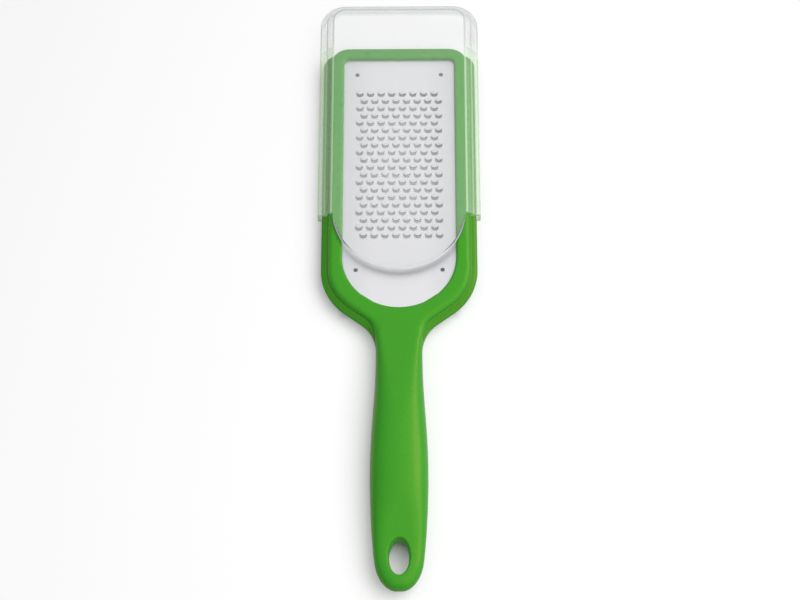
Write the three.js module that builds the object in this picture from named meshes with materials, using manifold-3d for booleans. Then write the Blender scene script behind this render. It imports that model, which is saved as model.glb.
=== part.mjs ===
// Fine grater with a slide-on cover, in millimetres.
// It lies on its back with the grating face up: X is its width, Y its length with the head's tip towards +Y,
// and Z its depth. The origin lies below the middle of the whole object, cover included, where it rests.
import * as THREE from "three";
import { mergeVertices } from "three/addons/utils/BufferGeometryUtils.js";
import Module from "manifold-3d";

const wasm = await Module();
wasm.setup();

// Body
const BODY_LENGTH = 273; // head tip to handle end
const BACK_DEPTH = 7.5; // resting plane to the joint between the two shells
const JOINT_GAP = 0.15; // open line between the two shells
const SHELL_WALL = 2.4; // wall of the hollow handle

// Head
const BAR_WIDTH = 6.55; // of the raised band beside the window
const BAND_HEIGHT = 2.7; // raised band round the window, above the joint
const BAND_CORNER = 9; // band's outer corner at the tip
const BAND_EDGE = 0.8; // rounding of the band's outer edge
const FLANGE_LEDGE = 3.2; // how far the flange that the cover runs on stands out from the band
const FLANGE_THICKNESS = 2.6;
const FLANGE_SETBACK = 3.2; // from the head's tip back to the flange
const FLANGE_CORNER = 5.5;
const SHOULDER_DROP = 5.8; // middle of the window's round end to where the sides begin to turn in
const SHOULDER_RADIUS = 27.5;
const SHOULDER_TURN = THREE.MathUtils.degToRad(53); // how far the shoulder turns before the neck

// Window and plate
const WINDOW_WIDTH = 52;
const WINDOW_FROM_TIP = 6;
const WINDOW_LENGTH = 132.2; // from its straight top to the bottom of its round end
const WINDOW_CORNER = 2.6;
const PLATE_SHEET = 0.5;
const PLATE_RIM = 3; // plate held under the band, all round
const PLATE_CLEARANCE = 0.1; // above and below the held rim
const PLATE_EDGE_GAP = 0.3; // round the plate's edge
const LOCATING_HOLE = 2;
const LOCATING_SPAN = 39.6; // across a pair of locating holes
const LOCATING_TOP = 8.2; // window's top to the upper pair
const LOCATING_DROP = 6.5; // middle of the window's round end to the lower pair

// Teeth
const TOOTH_ROWS = 20;
const TEETH_PER_ROW = 8;
const TOOTH_PITCH = 5; // along a row
const ROW_PITCH = 4;
const ROW_STAGGER = 2; // every second row is shifted by this
const TEETH_FROM_TOP = 56.6; // window's top to the middle of the toothed field
const TOOTH_WIDTH = 3.6;
const TOOTH_REACH = 2.6; // length of a tooth's opening
const TOOTH_COVERED = 1.3; // part of the opening that the raised scoop covers
const TOOTH_NOSE = 1.8; // width of the opening's front
const TOOTH_CREST = 1.8; // width of the highest part of the cutting edge
const TOOTH_HEIGHT = 1.1; // cutting edge above the plate
const TOOTH_BOW = 0.5; // how far the middle of the cutting edge stands forward
const TOOTH_SHEET = 0.35; // sheet thinned by the pressing

// Neck and handle
const NECK_WIDTH = 20.9;
const NECK_RADIUS = 17; // hollow curve from the shoulder into the neck
const NECK_FLARE = 2.1; // how much the handle's top widens, each side, where it joins the band
const NECK_RUN = 17; // length of that widening
const GRIP_WIDTH = 25.7;
const GRIP_FROM_END = 53.4; // handle end to the widest part of the grip
const GRIP_RISE = 7.7; // top of the grip above the front shell's base
const GRIP_LEAD = 21.4; // full height begins this far ahead of the widest part
const GRIP_SQUARENESS = 2.7; // 2 is an ellipse, more is squarer
const BAND_SQUARENESS = 7; // same, where the handle's top joins the band
const TAIL_WIDTH = 21.4; // where the round end of the handle begins
const TAIL_LENGTH = 12.7; // of the round end
const TAIL_TAPER = 0.125; // narrowing on each side where the round end begins, per length
const TAIL_RISE = 3.7; // half the handle's thickness at the hang hole
const TAIL_FLAT = 2.4; // width of the blunt tip of the handle
const TAIL_EDGE = 4; // rounding of the handle's end, seen from the side
const TAIL_TIP = 1.17; // half the thickness of the blunt end
const EDGE_EASE = 0.4; // share of a stretch over which the handle's edge keeps its direction
const TAIL_FULLNESS = 0.6; // same, along the round end
const TAIL_BLUNTNESS = 0.5; // same, across the blunt tip

// Hang hole
const HANG_WIDTH = 8.4;
const HANG_LENGTH = 15.5;
const HANG_FROM_END = 14.6; // handle end to the middle of the hole
const HANG_LIP = 3; // rounding of the hole's edges
const HANG_WALL = 2.7; // between the hole and the handle's hollow

// Pegs of the back shell and their sockets in the front shell
const PEG_RADIUS = 2;
const PEG_HEIGHT = 3.2; // above the joint
const PEG_CLEARANCE = 0.3;
const SOCKET_WALL = 1.6;
const PEG_INSET = 16; // from each end of the handle's hollow to a peg

// Cover
const COVER_WALL = 1.4;
const COVER_CLEARANCE = 0.4; // between the cover and the rails
const COVER_TRAVEL = 22.2; // how far the cover is drawn out here
const COVER_SEAT_GAP = 0.3; // left at the tip when it is pushed home
const COVER_CORNER = 12; // outer corner at the tip
const COVER_SHOULDER_CORNER = 9; // corner of the raised panel at the tip
const COVER_END_STEP = 0.5; // step between the end wall and the raised panel
const CHANNEL_LENGTH = 114.6; // outer end to the mouth of the side channels
const LIP_GAP = 0.9; // between the lips below the flange and the back rim
const TONGUE_WIDTH = 61;
const TONGUE_LENGTH = 29.5; // past the mouth of the channels

// Fineness of curves
const ARC_STEPS = 6;
const LIP_STEPS = 4;
const SECTION_SIDES = 16;
const ROUND_SIDES = 12;
const EDGE_STEPS = 2; // in a rounded edge
const OVERCUT = 1; // how far a cut runs past the face that it opens
const MERGE_DISTANCE = 0.0001;

// Places worked out from the sizes
const COVER_PROJECTION = COVER_TRAVEL + COVER_SEAT_GAP + COVER_WALL;
const TIP_Y = (BODY_LENGTH - COVER_PROJECTION) / 2;
const fromTip = (distance) => TIP_Y - distance;
const END_Y = fromTip(BODY_LENGTH);
const WINDOW_TOP = fromTip(WINDOW_FROM_TIP);
const WINDOW_ROUND = WINDOW_TOP - WINDOW_LENGTH + WINDOW_WIDTH / 2;
const FRONT_BASE = BACK_DEPTH + JOINT_GAP;
const BAND_TOP = BACK_DEPTH + BAND_HEIGHT;
const BAND_HALF = WINDOW_WIDTH / 2 + BAR_WIDTH;
const HEAD_HALF = BAND_HALF + FLANGE_LEDGE;
const FLANGE_BOTTOM = BACK_DEPTH - FLANGE_THICKNESS;
const PLATE_BOTTOM = BACK_DEPTH + PLATE_CLEARANCE;
const PLATE_TOP = PLATE_BOTTOM + PLATE_SHEET;
const SHOULDER_X = HEAD_HALF - SHOULDER_RADIUS;
const SHOULDER_Y = WINDOW_ROUND - SHOULDER_DROP;
const NECK_X = NECK_WIDTH / 2 + NECK_RADIUS;
const NECK_Y = neckCentreY();
const JOIN_Y = NECK_Y + (NECK_RADIUS + FLANGE_LEDGE) * Math.sin(SHOULDER_TURN);
const GRIP_Y = END_Y + GRIP_FROM_END;
const TAIL_Y = END_Y + TAIL_LENGTH;
const HANG_Y = END_Y + HANG_FROM_END;
const HOLLOW_START = JOIN_Y - NECK_RUN;
const HOLLOW_END = HANG_Y + HANG_LENGTH / 2 + HANG_WALL;

// The shoulder's arc and the neck's arc share a straight tangent, which places the neck's centre.
function neckCentreY() {
  const arcs = SHOULDER_RADIUS + NECK_RADIUS;
  const across = NECK_X - SHOULDER_X - arcs * Math.cos(SHOULDER_TURN);
  const tangent = -across / Math.sin(SHOULDER_TURN);
  return SHOULDER_Y - arcs * Math.sin(SHOULDER_TURN) - tangent * Math.cos(SHOULDER_TURN);
}

// A closed geometry as a solid that can be joined and cut.
function solid(geometry) {
  const bare = geometry.clone();
  bare.deleteAttribute("normal");
  bare.deleteAttribute("uv");
  const merged = mergeVertices(bare, MERGE_DISTANCE);
  const data = {
    numProp: 3,
    vertProperties: merged.attributes.position.array,
    triVerts: new Uint32Array(merged.index.array),
  };
  return new wasm.Manifold(new wasm.Mesh(data));
}

function geometryOf(points, faces) {
  const geometry = new THREE.BufferGeometry();
  geometry.setAttribute("position", new THREE.Float32BufferAttribute(points, 3));
  geometry.setIndex(new THREE.Uint32BufferAttribute(faces, 1));
  return geometry;
}

function meshOf(name, body, material) {
  const data = body.getMesh();
  const geometry = geometryOf(data.vertProperties, data.triVerts);
  geometry.computeVertexNormals();
  const mesh = new THREE.Mesh(geometry, material);
  mesh.name = name;
  return mesh;
}

// A plan outline raised from one height to another.
function slab(shape, bottom, top) {
  const geometry = new THREE.ExtrudeGeometry(shape, {
    depth: top - bottom,
    bevelEnabled: false,
    curveSegments: ARC_STEPS,
  });
  return solid(geometry.translate(0, 0, bottom));
}

// The same with its upper edge rounded. A like rounding runs on below the bottom.
function roundedSlab(shape, bottom, top, edge) {
  const geometry = new THREE.ExtrudeGeometry(shape, {
    depth: top - bottom - edge,
    bevelSize: edge,
    bevelOffset: -edge,
    bevelThickness: edge,
    bevelSegments: EDGE_STEPS,
    curveSegments: ARC_STEPS,
  });
  return solid(geometry.translate(0, 0, bottom));
}

function box(x0, x1, y0, y1, z0, z1) {
  const geometry = new THREE.BoxGeometry(x1 - x0, y1 - y0, z1 - z0);
  return solid(geometry.translate((x0 + x1) / 2, (y0 + y1) / 2, (z0 + z1) / 2));
}

// A block longer and wider than the object, for cutting it level.
function layer(bottom, top) {
  return box(-BODY_LENGTH, BODY_LENGTH, -BODY_LENGTH, BODY_LENGTH, bottom, top);
}

// An upright round bar on the middle line.
function post(radius, y, bottom, top) {
  const geometry = new THREE.CylinderGeometry(radius, radius, top - bottom, ROUND_SIDES);
  geometry.rotateY(Math.PI / ROUND_SIDES).rotateX(Math.PI / 2);
  return solid(geometry.translate(0, y, (bottom + top) / 2));
}

// Plan of the head and neck, drawn in by an inset all round. It ends square across the neck.
function headOutline(inset, setback, corner) {
  const half = HEAD_HALF - inset;
  const tip = fromTip(setback);
  const shoulder = SHOULDER_RADIUS - inset;
  const hollow = NECK_RADIUS + inset;
  const quarter = Math.PI / 2;
  const shape = new THREE.Shape();
  shape.absarc(half - corner, tip - corner, corner, quarter, 0, true);
  shape.absarc(SHOULDER_X, SHOULDER_Y, shoulder, 0, -SHOULDER_TURN, true);
  shape.absarc(NECK_X, NECK_Y, hollow, Math.PI - SHOULDER_TURN, Math.PI, false);
  shape.absarc(-NECK_X, NECK_Y, hollow, 0, SHOULDER_TURN, false);
  shape.absarc(-SHOULDER_X, SHOULDER_Y, shoulder, Math.PI + SHOULDER_TURN, Math.PI, true);
  shape.absarc(corner - half, tip - corner, corner, Math.PI, quarter, true);
  return shape;
}

// Plan of the window, made larger by a margin all round: square at the tip, half round towards the neck.
function windowOutline(margin) {
  const half = WINDOW_WIDTH / 2 + margin;
  const corner = WINDOW_CORNER + margin;
  const top = WINDOW_TOP + margin;
  const shape = new THREE.Shape();
  shape.absarc(half - corner, top - corner, corner, 0, Math.PI / 2, false);
  shape.absarc(corner - half, top - corner, corner, Math.PI / 2, Math.PI, false);
  shape.absarc(0, WINDOW_ROUND, half, Math.PI, Math.PI * 2, false);
  return shape;
}

// Plan edge of the handle: half widths against Y, from inside the band to the blunt end.
function handleEdge() {
  const neck = NECK_WIDTH / 2;
  const grip = GRIP_WIDTH / 2;
  const tail = TAIL_WIDTH / 2;
  const toGrip = (HOLLOW_START - GRIP_Y) * EDGE_EASE;
  const toTail = (GRIP_Y - TAIL_Y) * EDGE_EASE;
  const fromGrip = TAIL_Y + toTail / 2;
  const roundStart = TAIL_Y - TAIL_LENGTH * TAIL_FULLNESS;
  const path = new THREE.Path();
  path.moveTo(neck + NECK_FLARE, JOIN_Y);
  path.quadraticCurveTo(neck, JOIN_Y - NECK_RUN * EDGE_EASE, neck, HOLLOW_START);
  path.bezierCurveTo(neck, HOLLOW_START - toGrip, grip, GRIP_Y + toGrip, grip, GRIP_Y);
  path.bezierCurveTo(
    grip, GRIP_Y - toTail,
    tail + TAIL_TAPER * (fromGrip - TAIL_Y), fromGrip,
    tail, TAIL_Y,
  );
  path.bezierCurveTo(
    tail - TAIL_TAPER * (TAIL_Y - roundStart), roundStart,
    tail * TAIL_BLUNTNESS, END_Y,
    TAIL_FLAT / 2, END_Y,
  );
  return path.getPoints(ARC_STEPS);
}

// The same edge at one place along Y, between two of its points.
function edgeAt(y) {
  const next = edge.findIndex((place) => place.y <= y);
  const share = (edge[next - 1].y - y) / (edge[next - 1].y - edge[next].y);
  return edge[next - 1].clone().lerp(edge[next], share);
}

// From 0 at the band to 1 where the grip has its full height.
function swellAt(y) {
  return 1 - THREE.MathUtils.smoothstep(y, GRIP_Y + GRIP_LEAD, JOIN_Y);
}

// Height of the handle above the joint (side 1) or below it (side -1), at one place along Y.
function handleHeight(y, side) {
  const { smoothstep, lerp } = THREE.MathUtils;
  const atBand = side > 0 ? BAND_TOP - FRONT_BASE : BACK_DEPTH;
  const atGrip = side > 0 ? GRIP_RISE : BACK_DEPTH;
  const thinned = 1 - smoothstep(y, HANG_Y, GRIP_Y);
  const body = lerp(lerp(atBand, atGrip, swellAt(y)), TAIL_RISE, thinned);
  const past = Math.max(0, END_Y + TAIL_EDGE - y) / TAIL_EDGE;
  const drop = 1 - (TAIL_TIP / TAIL_RISE) ** 2;
  return body * Math.sqrt(1 - drop * past * past);
}

// Half of the handle, above the joint (side 1) or below it (side -1), drawn in by a wall.
// The first and last points of each section run on past the joint.
function handleHalf(side, wall, places) {
  const points = [];
  const faces = [];
  const base = side > 0 ? FRONT_BASE : BACK_DEPTH;
  const ring = SECTION_SIDES + 1;
  for (const place of places) {
    const half = place.x - wall;
    const height = handleHeight(place.y, side) - wall;
    const power = 2 / THREE.MathUtils.lerp(BAND_SQUARENESS, GRIP_SQUARENESS, swellAt(place.y));
    for (let i = 0; i < ring; i++) {
      const angle = (Math.PI * i) / SECTION_SIDES;
      const across = Math.cos(angle);
      const x = half * Math.sign(across) * Math.abs(across) ** power;
      const rise = i % SECTION_SIDES ? height * Math.sin(angle) ** power : -OVERCUT;
      points.push(x, place.y, base + side * rise);
    }
  }
  for (let j = 0; j + 1 < places.length; j++) {
    for (let i = 0; i < ring; i++) {
      const next = (i + 1) % ring;
      const [a, b] = [j * ring + i, j * ring + next];
      faces.push(a, a + ring, b + ring, a, b + ring, b);
    }
  }
  const end = (places.length - 1) * ring;
  for (let i = 1; i + 1 < ring; i++) {
    faces.push(0, i, i + 1);
    faces.push(end, end + i + 1, end + i);
  }
  if (side > 0) {
    faces.reverse();
  }
  return solid(geometryOf(points, faces));
}

// Hang hole with rounded edges: narrowest at the joint, wider towards both faces.
function hangHole() {
  const points = [];
  const faces = [];
  const reach = TAIL_RISE + OVERCUT;
  const middle = BACK_DEPTH + JOINT_GAP / 2;
  const levels = [[-reach, HANG_LIP]];
  for (let i = -LIP_STEPS; i <= LIP_STEPS; i++) {
    const angle = (Math.PI / 2) * (i / LIP_STEPS);
    levels.push([TAIL_RISE * Math.sin(angle), HANG_LIP * (1 - Math.cos(angle))]);
  }
  levels.push([reach, HANG_LIP]);
  const ring = ROUND_SIDES * 2;
  for (const [rise, flare] of levels) {
    for (let i = 0; i < ring; i++) {
      const angle = (Math.PI * 2 * i) / ring;
      const x = (HANG_WIDTH / 2 + flare) * Math.cos(angle);
      const y = HANG_Y + (HANG_LENGTH / 2 + flare) * Math.sin(angle);
      points.push(x, y, middle + rise);
    }
  }
  for (let j = 0; j + 1 < levels.length; j++) {
    for (let i = 0; i < ring; i++) {
      const next = (i + 1) % ring;
      faces.push(j * ring + i, j * ring + next, (j + 1) * ring + next);
      faces.push(j * ring + i, (j + 1) * ring + next, (j + 1) * ring + i);
    }
  }
  const top = (levels.length - 1) * ring;
  for (let i = 1; i + 1 < ring; i++) {
    faces.push(0, i + 1, i);
    faces.push(top, top + i, top + i + 1);
  }
  return solid(geometryOf(points, faces));
}

const edge = handleEdge();
const hollowEdge = [
  edgeAt(HOLLOW_START),
  ...edge.filter((place) => place.y < HOLLOW_START - OVERCUT && place.y > HOLLOW_END + OVERCUT),
  edgeAt(HOLLOW_END),
];
const pegPlaces = [HOLLOW_START - PEG_INSET, HOLLOW_END + PEG_INSET];
const hang = hangHole();

// Front shell: the raised band and the upper half of the handle
function frontShell() {
  const outline = headOutline(FLANGE_LEDGE, 0, BAND_CORNER);
  const grooveOutline = windowOutline(PLATE_RIM + PLATE_EDGE_GAP);
  const band = roundedSlab(outline, FRONT_BASE - OVERCUT, BAND_TOP, BAND_EDGE);
  const window = slab(windowOutline(0), FRONT_BASE - OVERCUT, BAND_TOP + OVERCUT);
  const groove = slab(grooveOutline, FRONT_BASE - OVERCUT, PLATE_TOP + PLATE_CLEARANCE);
  let shell = band.add(handleHalf(1, 0, edge)).subtract(layer(0, FRONT_BASE));
  for (const cut of [window, groove, handleHalf(1, SHELL_WALL, hollowEdge), hang]) {
    shell = shell.subtract(cut);
  }
  const bore = PEG_RADIUS + PEG_CLEARANCE;
  const boreTop = BACK_DEPTH + PEG_HEIGHT + PEG_CLEARANCE;
  for (const y of pegPlaces) {
    const ceiling = FRONT_BASE + handleHeight(y, 1) - SHELL_WALL / 2;
    shell = shell.add(post(bore + SOCKET_WALL, y, FRONT_BASE, ceiling));
    shell = shell.subtract(post(bore, y, FRONT_BASE - OVERCUT, boreTop));
  }
  return shell;
}

// Back shell: rim, flange and the lower half of the handle
function backShell() {
  const above = BACK_DEPTH + OVERCUT;
  const rim = slab(headOutline(FLANGE_LEDGE, 0, BAND_CORNER), 0, above);
  const flange = slab(headOutline(0, FLANGE_SETBACK, FLANGE_CORNER), FLANGE_BOTTOM, above);
  const window = slab(windowOutline(0), -OVERCUT, above);
  let shell = rim.add(flange).add(handleHalf(-1, 0, edge)).subtract(layer(BACK_DEPTH, above + OVERCUT));
  for (const cut of [window, handleHalf(-1, SHELL_WALL, hollowEdge), hang]) {
    shell = shell.subtract(cut);
  }
  for (const y of pegPlaces) {
    const floor = BACK_DEPTH - handleHeight(y, -1) + SHELL_WALL / 2;
    shell = shell.add(post(PEG_RADIUS, y, floor, BACK_DEPTH + PEG_HEIGHT));
  }
  return shell;
}

// Corners of one tooth's opening, anticlockwise from the back right: square under the scoop, and narrowed
// to a nose towards the handle
function toothCorners(x, y) {
  const half = TOOTH_WIDTH / 2;
  const nose = TOOTH_NOSE / 2;
  const back = y + TOOTH_REACH / 2;
  const side = back - TOOTH_COVERED;
  const front = back - TOOTH_REACH;
  return [
    new THREE.Vector2(x + half, back),
    new THREE.Vector2(x - half, back),
    new THREE.Vector2(x - half, side),
    new THREE.Vector2(x - nose, front),
    new THREE.Vector2(x + nose, front),
    new THREE.Vector2(x + half, side),
  ];
}

// Places of the teeth: straight rows, every second one shifted sideways
function toothPlaces() {
  const places = [];
  for (let row = 0; row < TOOTH_ROWS; row++) {
    const y = WINDOW_TOP - TEETH_FROM_TOP + ROW_PITCH * ((TOOTH_ROWS - 1) / 2 - row);
    const shift = row % 2 ? ROW_STAGGER / 2 : -ROW_STAGGER / 2;
    for (let i = 0; i < TEETH_PER_ROW; i++) {
      places.push([TOOTH_PITCH * (i - (TEETH_PER_ROW - 1) / 2) + shift, y]);
    }
  }
  return places;
}

function locatingHoles() {
  const holes = [];
  for (const y of [WINDOW_TOP - LOCATING_TOP, WINDOW_ROUND - LOCATING_DROP]) {
    for (const side of [-1, 1]) {
      const hole = new THREE.Path();
      hole.absarc((side * LOCATING_SPAN) / 2, y, LOCATING_HOLE / 2, 0, Math.PI * 2, false);
      holes.push(hole.getPoints(ARC_STEPS).slice(0, -1));
    }
  }
  return holes;
}

// Grating plate: one sheet with four locating holes and teeth pressed up from it.
// Each plan corner gives an upper and a lower vertex. A tooth adds the raised arch over half of its opening.
function gratingPlate() {
  const outline = windowOutline(PLATE_RIM).getPoints(ARC_STEPS);
  if (outline[0].equals(outline.at(-1))) {
    outline.pop();
  }
  const places = toothPlaces();
  const round = locatingHoles();
  const holes = [...places.map(([x, y]) => toothCorners(x, y)), ...round];
  const plan = [outline, ...holes].flat();
  const points = [];
  const faces = [];
  for (const corner of plan) {
    points.push(corner.x, corner.y, PLATE_TOP);
    points.push(corner.x, corner.y, PLATE_BOTTOM);
  }
  const upper = (i) => 2 * i;
  const lower = (i) => 2 * i + 1;
  const quad = (a, b, c, d) => faces.push(a, b, c, a, c, d);
  const wall = (a, b) => quad(lower(a), lower(b), upper(b), upper(a));

  for (const [a, b, c] of THREE.ShapeUtils.triangulateShape(outline, holes)) {
    faces.push(upper(a), upper(b), upper(c), lower(a), lower(c), lower(b));
  }
  outline.forEach((_, i) => wall(i, (i + 1) % outline.length));

  let start = outline.length;
  for (const [x, y] of places) {
    const corners = toothCorners(x, y).map((_, i) => start + i);
    const [backRight, backLeft, left, noseLeft, noseRight, right] = corners;
    wall(noseLeft, left);
    wall(noseRight, noseLeft);
    wall(right, noseRight);
    const crest = points.length / 3;
    const front = y + TOOTH_REACH / 2 - TOOTH_COVERED - TOOTH_BOW;
    const top = PLATE_TOP + TOOTH_HEIGHT;
    for (const across of [-TOOTH_CREST / 2, TOOTH_CREST / 2]) {
      points.push(x + across, front, top);
      points.push(x + across, front, top - TOOTH_SHEET);
    }
    const [left1, left2, right1, right2] = [crest, crest + 1, crest + 2, crest + 3];
    faces.push(upper(backLeft), upper(left), left1);
    faces.push(upper(backRight), right1, upper(right));
    quad(upper(backLeft), left1, right1, upper(backRight));
    faces.push(lower(backLeft), left2, lower(left));
    faces.push(lower(backRight), lower(right), right2);
    quad(lower(backLeft), lower(backRight), right2, left2);
    quad(lower(left), left2, left1, upper(left));
    quad(left2, right2, right1, left1);
    quad(right2, lower(right), upper(right), right1);
    start += corners.length;
  }
  for (const hole of round) {
    const first = start;
    hole.forEach((_, i) => wall(first + ((i + 1) % hole.length), first + i));
    start += hole.length;
  }
  return solid(geometryOf(points, faces));
}

// Plan of the cover or of a space in it: straight sides, round corners at the closed end
function coverOutline(half, mouth, end, corner) {
  const shape = new THREE.Shape();
  shape.moveTo(-half, mouth);
  shape.lineTo(half, mouth);
  shape.absarc(half - corner, end - corner, corner, 0, Math.PI / 2, false);
  shape.absarc(corner - half, end - corner, corner, Math.PI / 2, Math.PI, false);
  return shape;
}

// Plan of the cover's round tongue, which starts a little inside the mouth
function tongueOutline(mouth) {
  const start = mouth + COVER_WALL;
  const shape = new THREE.Shape();
  shape.absellipse(0, start, TONGUE_WIDTH / 2, TONGUE_LENGTH + COVER_WALL, Math.PI, Math.PI * 2, false, 0);
  return shape;
}

// Cover: a panel over the band, two channels round the flange, a closed end and a round tongue
function slideCover() {
  const inner = fromTip(-(COVER_TRAVEL + COVER_SEAT_GAP));
  const outer = inner + COVER_WALL;
  const mouth = outer - CHANNEL_LENGTH;
  const past = mouth - OVERCUT;
  const panelEdge = BAND_EDGE + COVER_WALL;
  const pastTongue = past - TONGUE_LENGTH - panelEdge;

  const ledgeBottom = BACK_DEPTH + COVER_CLEARANCE;
  const ledgeTop = ledgeBottom + COVER_WALL;
  const panelBottom = BAND_TOP + COVER_CLEARANCE;
  const panelTop = panelBottom + COVER_WALL;
  const channelBottom = FLANGE_BOTTOM - COVER_CLEARANCE;
  const lipBottom = channelBottom - COVER_WALL;
  const below = lipBottom - OVERCUT;
  const above = panelTop + OVERCUT;

  const bandSpace = BAND_HALF + COVER_CLEARANCE;
  const channelSpace = HEAD_HALF + COVER_CLEARANCE;
  const lipSpace = BAND_HALF + LIP_GAP;
  const innerCorner = COVER_CORNER - COVER_WALL;
  const roomCorner = COVER_SHOULDER_CORNER - COVER_WALL;
  const panelEnd = outer - COVER_END_STEP;

  const railPlan = coverOutline(channelSpace + COVER_WALL, past, outer, COVER_CORNER);
  const panelPlan = coverOutline(bandSpace + COVER_WALL, pastTongue, panelEnd, COVER_SHOULDER_CORNER);
  const rails = slab(railPlan, lipBottom, ledgeTop);
  const panel = roundedSlab(panelPlan, ledgeBottom, panelTop, panelEdge);

  const tongue = slab(tongueOutline(mouth), below - OVERCUT, above + OVERCUT);
  const roundTongue = box(-BODY_LENGTH, BODY_LENGTH, END_Y, mouth, below, above).subtract(tongue);
  const bandPlan = coverOutline(bandSpace, pastTongue, inner, roomCorner);
  const channelPlan = coverOutline(channelSpace, past, inner, innerCorner);
  const lipPlan = coverOutline(lipSpace, past, inner, roomCorner);
  const bandRoom = roundedSlab(bandPlan, below, panelBottom, BAND_EDGE);
  const channelRoom = slab(channelPlan, channelBottom, ledgeBottom);
  const lipRoom = slab(lipPlan, below, (channelBottom + ledgeBottom) / 2);

  let cover = rails.add(panel);
  for (const cut of [roundTongue, bandRoom, channelRoom, lipRoom]) {
    cover = cover.subtract(cut);
  }
  return cover;
}

const green = new THREE.MeshStandardMaterial({ color: 0x48a532, roughness: 0.35, metalness: 0 });
const steel = new THREE.MeshStandardMaterial({ color: 0xdcdde0, roughness: 0.3, metalness: 1 });
const clear = new THREE.MeshStandardMaterial({
  color: 0xf2f5f5,
  roughness: 0.15,
  metalness: 0,
  transparent: true,
  opacity: 0.35,
});

const grater = new THREE.Group();
grater.add(
  meshOf("front_shell", frontShell(), green),
  meshOf("back_shell", backShell(), green),
  meshOf("grating_plate", gratingPlate(), steel),
  meshOf("slide_cover", slideCover(), clear),
);

export default grater;
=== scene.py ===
# Looks of the fine grater: its green mouldings, toothed plate and clear cover, with a studio round them.
# Everything is in metres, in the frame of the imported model.
import math

import bmesh
import bpy
import numpy as np
from mathutils import Matrix, Vector
from mathutils.geometry import delaunay_2d_cdt


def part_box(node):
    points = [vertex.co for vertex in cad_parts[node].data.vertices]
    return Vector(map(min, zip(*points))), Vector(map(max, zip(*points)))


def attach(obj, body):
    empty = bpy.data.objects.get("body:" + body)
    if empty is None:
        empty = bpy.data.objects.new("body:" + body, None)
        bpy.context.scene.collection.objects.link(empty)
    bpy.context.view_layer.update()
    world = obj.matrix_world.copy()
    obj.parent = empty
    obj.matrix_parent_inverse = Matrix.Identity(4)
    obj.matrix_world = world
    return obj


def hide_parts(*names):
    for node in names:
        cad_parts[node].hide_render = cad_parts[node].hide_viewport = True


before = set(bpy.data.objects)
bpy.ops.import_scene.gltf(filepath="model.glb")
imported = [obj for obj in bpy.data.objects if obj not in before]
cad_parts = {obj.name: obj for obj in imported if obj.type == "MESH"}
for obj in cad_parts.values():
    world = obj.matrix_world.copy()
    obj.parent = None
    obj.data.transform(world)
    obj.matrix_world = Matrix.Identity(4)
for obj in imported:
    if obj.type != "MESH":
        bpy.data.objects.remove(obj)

bl_info = {
    "name": "Fine Grater",
    "version": (1, 0, 0),
    "blender": (4, 5, 0),
    "location": "View3D > Sidebar > Grater",
    "description": "Builds the mouldings, toothed plate and clear cover of a fine grater",
    "category": "Mesh",
}

MM = 0.001
QUARTER = math.pi / 2
WELD = 1e-6

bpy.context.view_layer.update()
FRONT_LOW, FRONT_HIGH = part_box("front_shell")
BACK_LOW, BACK_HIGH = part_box("back_shell")
PLATE_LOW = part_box("grating_plate")[0]
COVER_LOW, COVER_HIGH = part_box("slide_cover")


# Properties
def length(name, millimetres, description):
    return bpy.props.FloatProperty(
        name=name,
        description=description,
        default=millimetres * MM,
        unit="LENGTH",
        subtype="DISTANCE",
        precision=5,
    )


def share(name, default, description):
    return bpy.props.FloatProperty(name=name, description=description, default=default, subtype="FACTOR")


def number(name, default, description, unit="NONE"):
    return bpy.props.FloatProperty(name=name, description=description, default=default, unit=unit)


def colour(name, default, description):
    return bpy.props.FloatVectorProperty(
        name=name,
        description=description,
        default=default,
        subtype="COLOR",
        size=3,
        min=0.0,
        max=1.0,
    )


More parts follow.
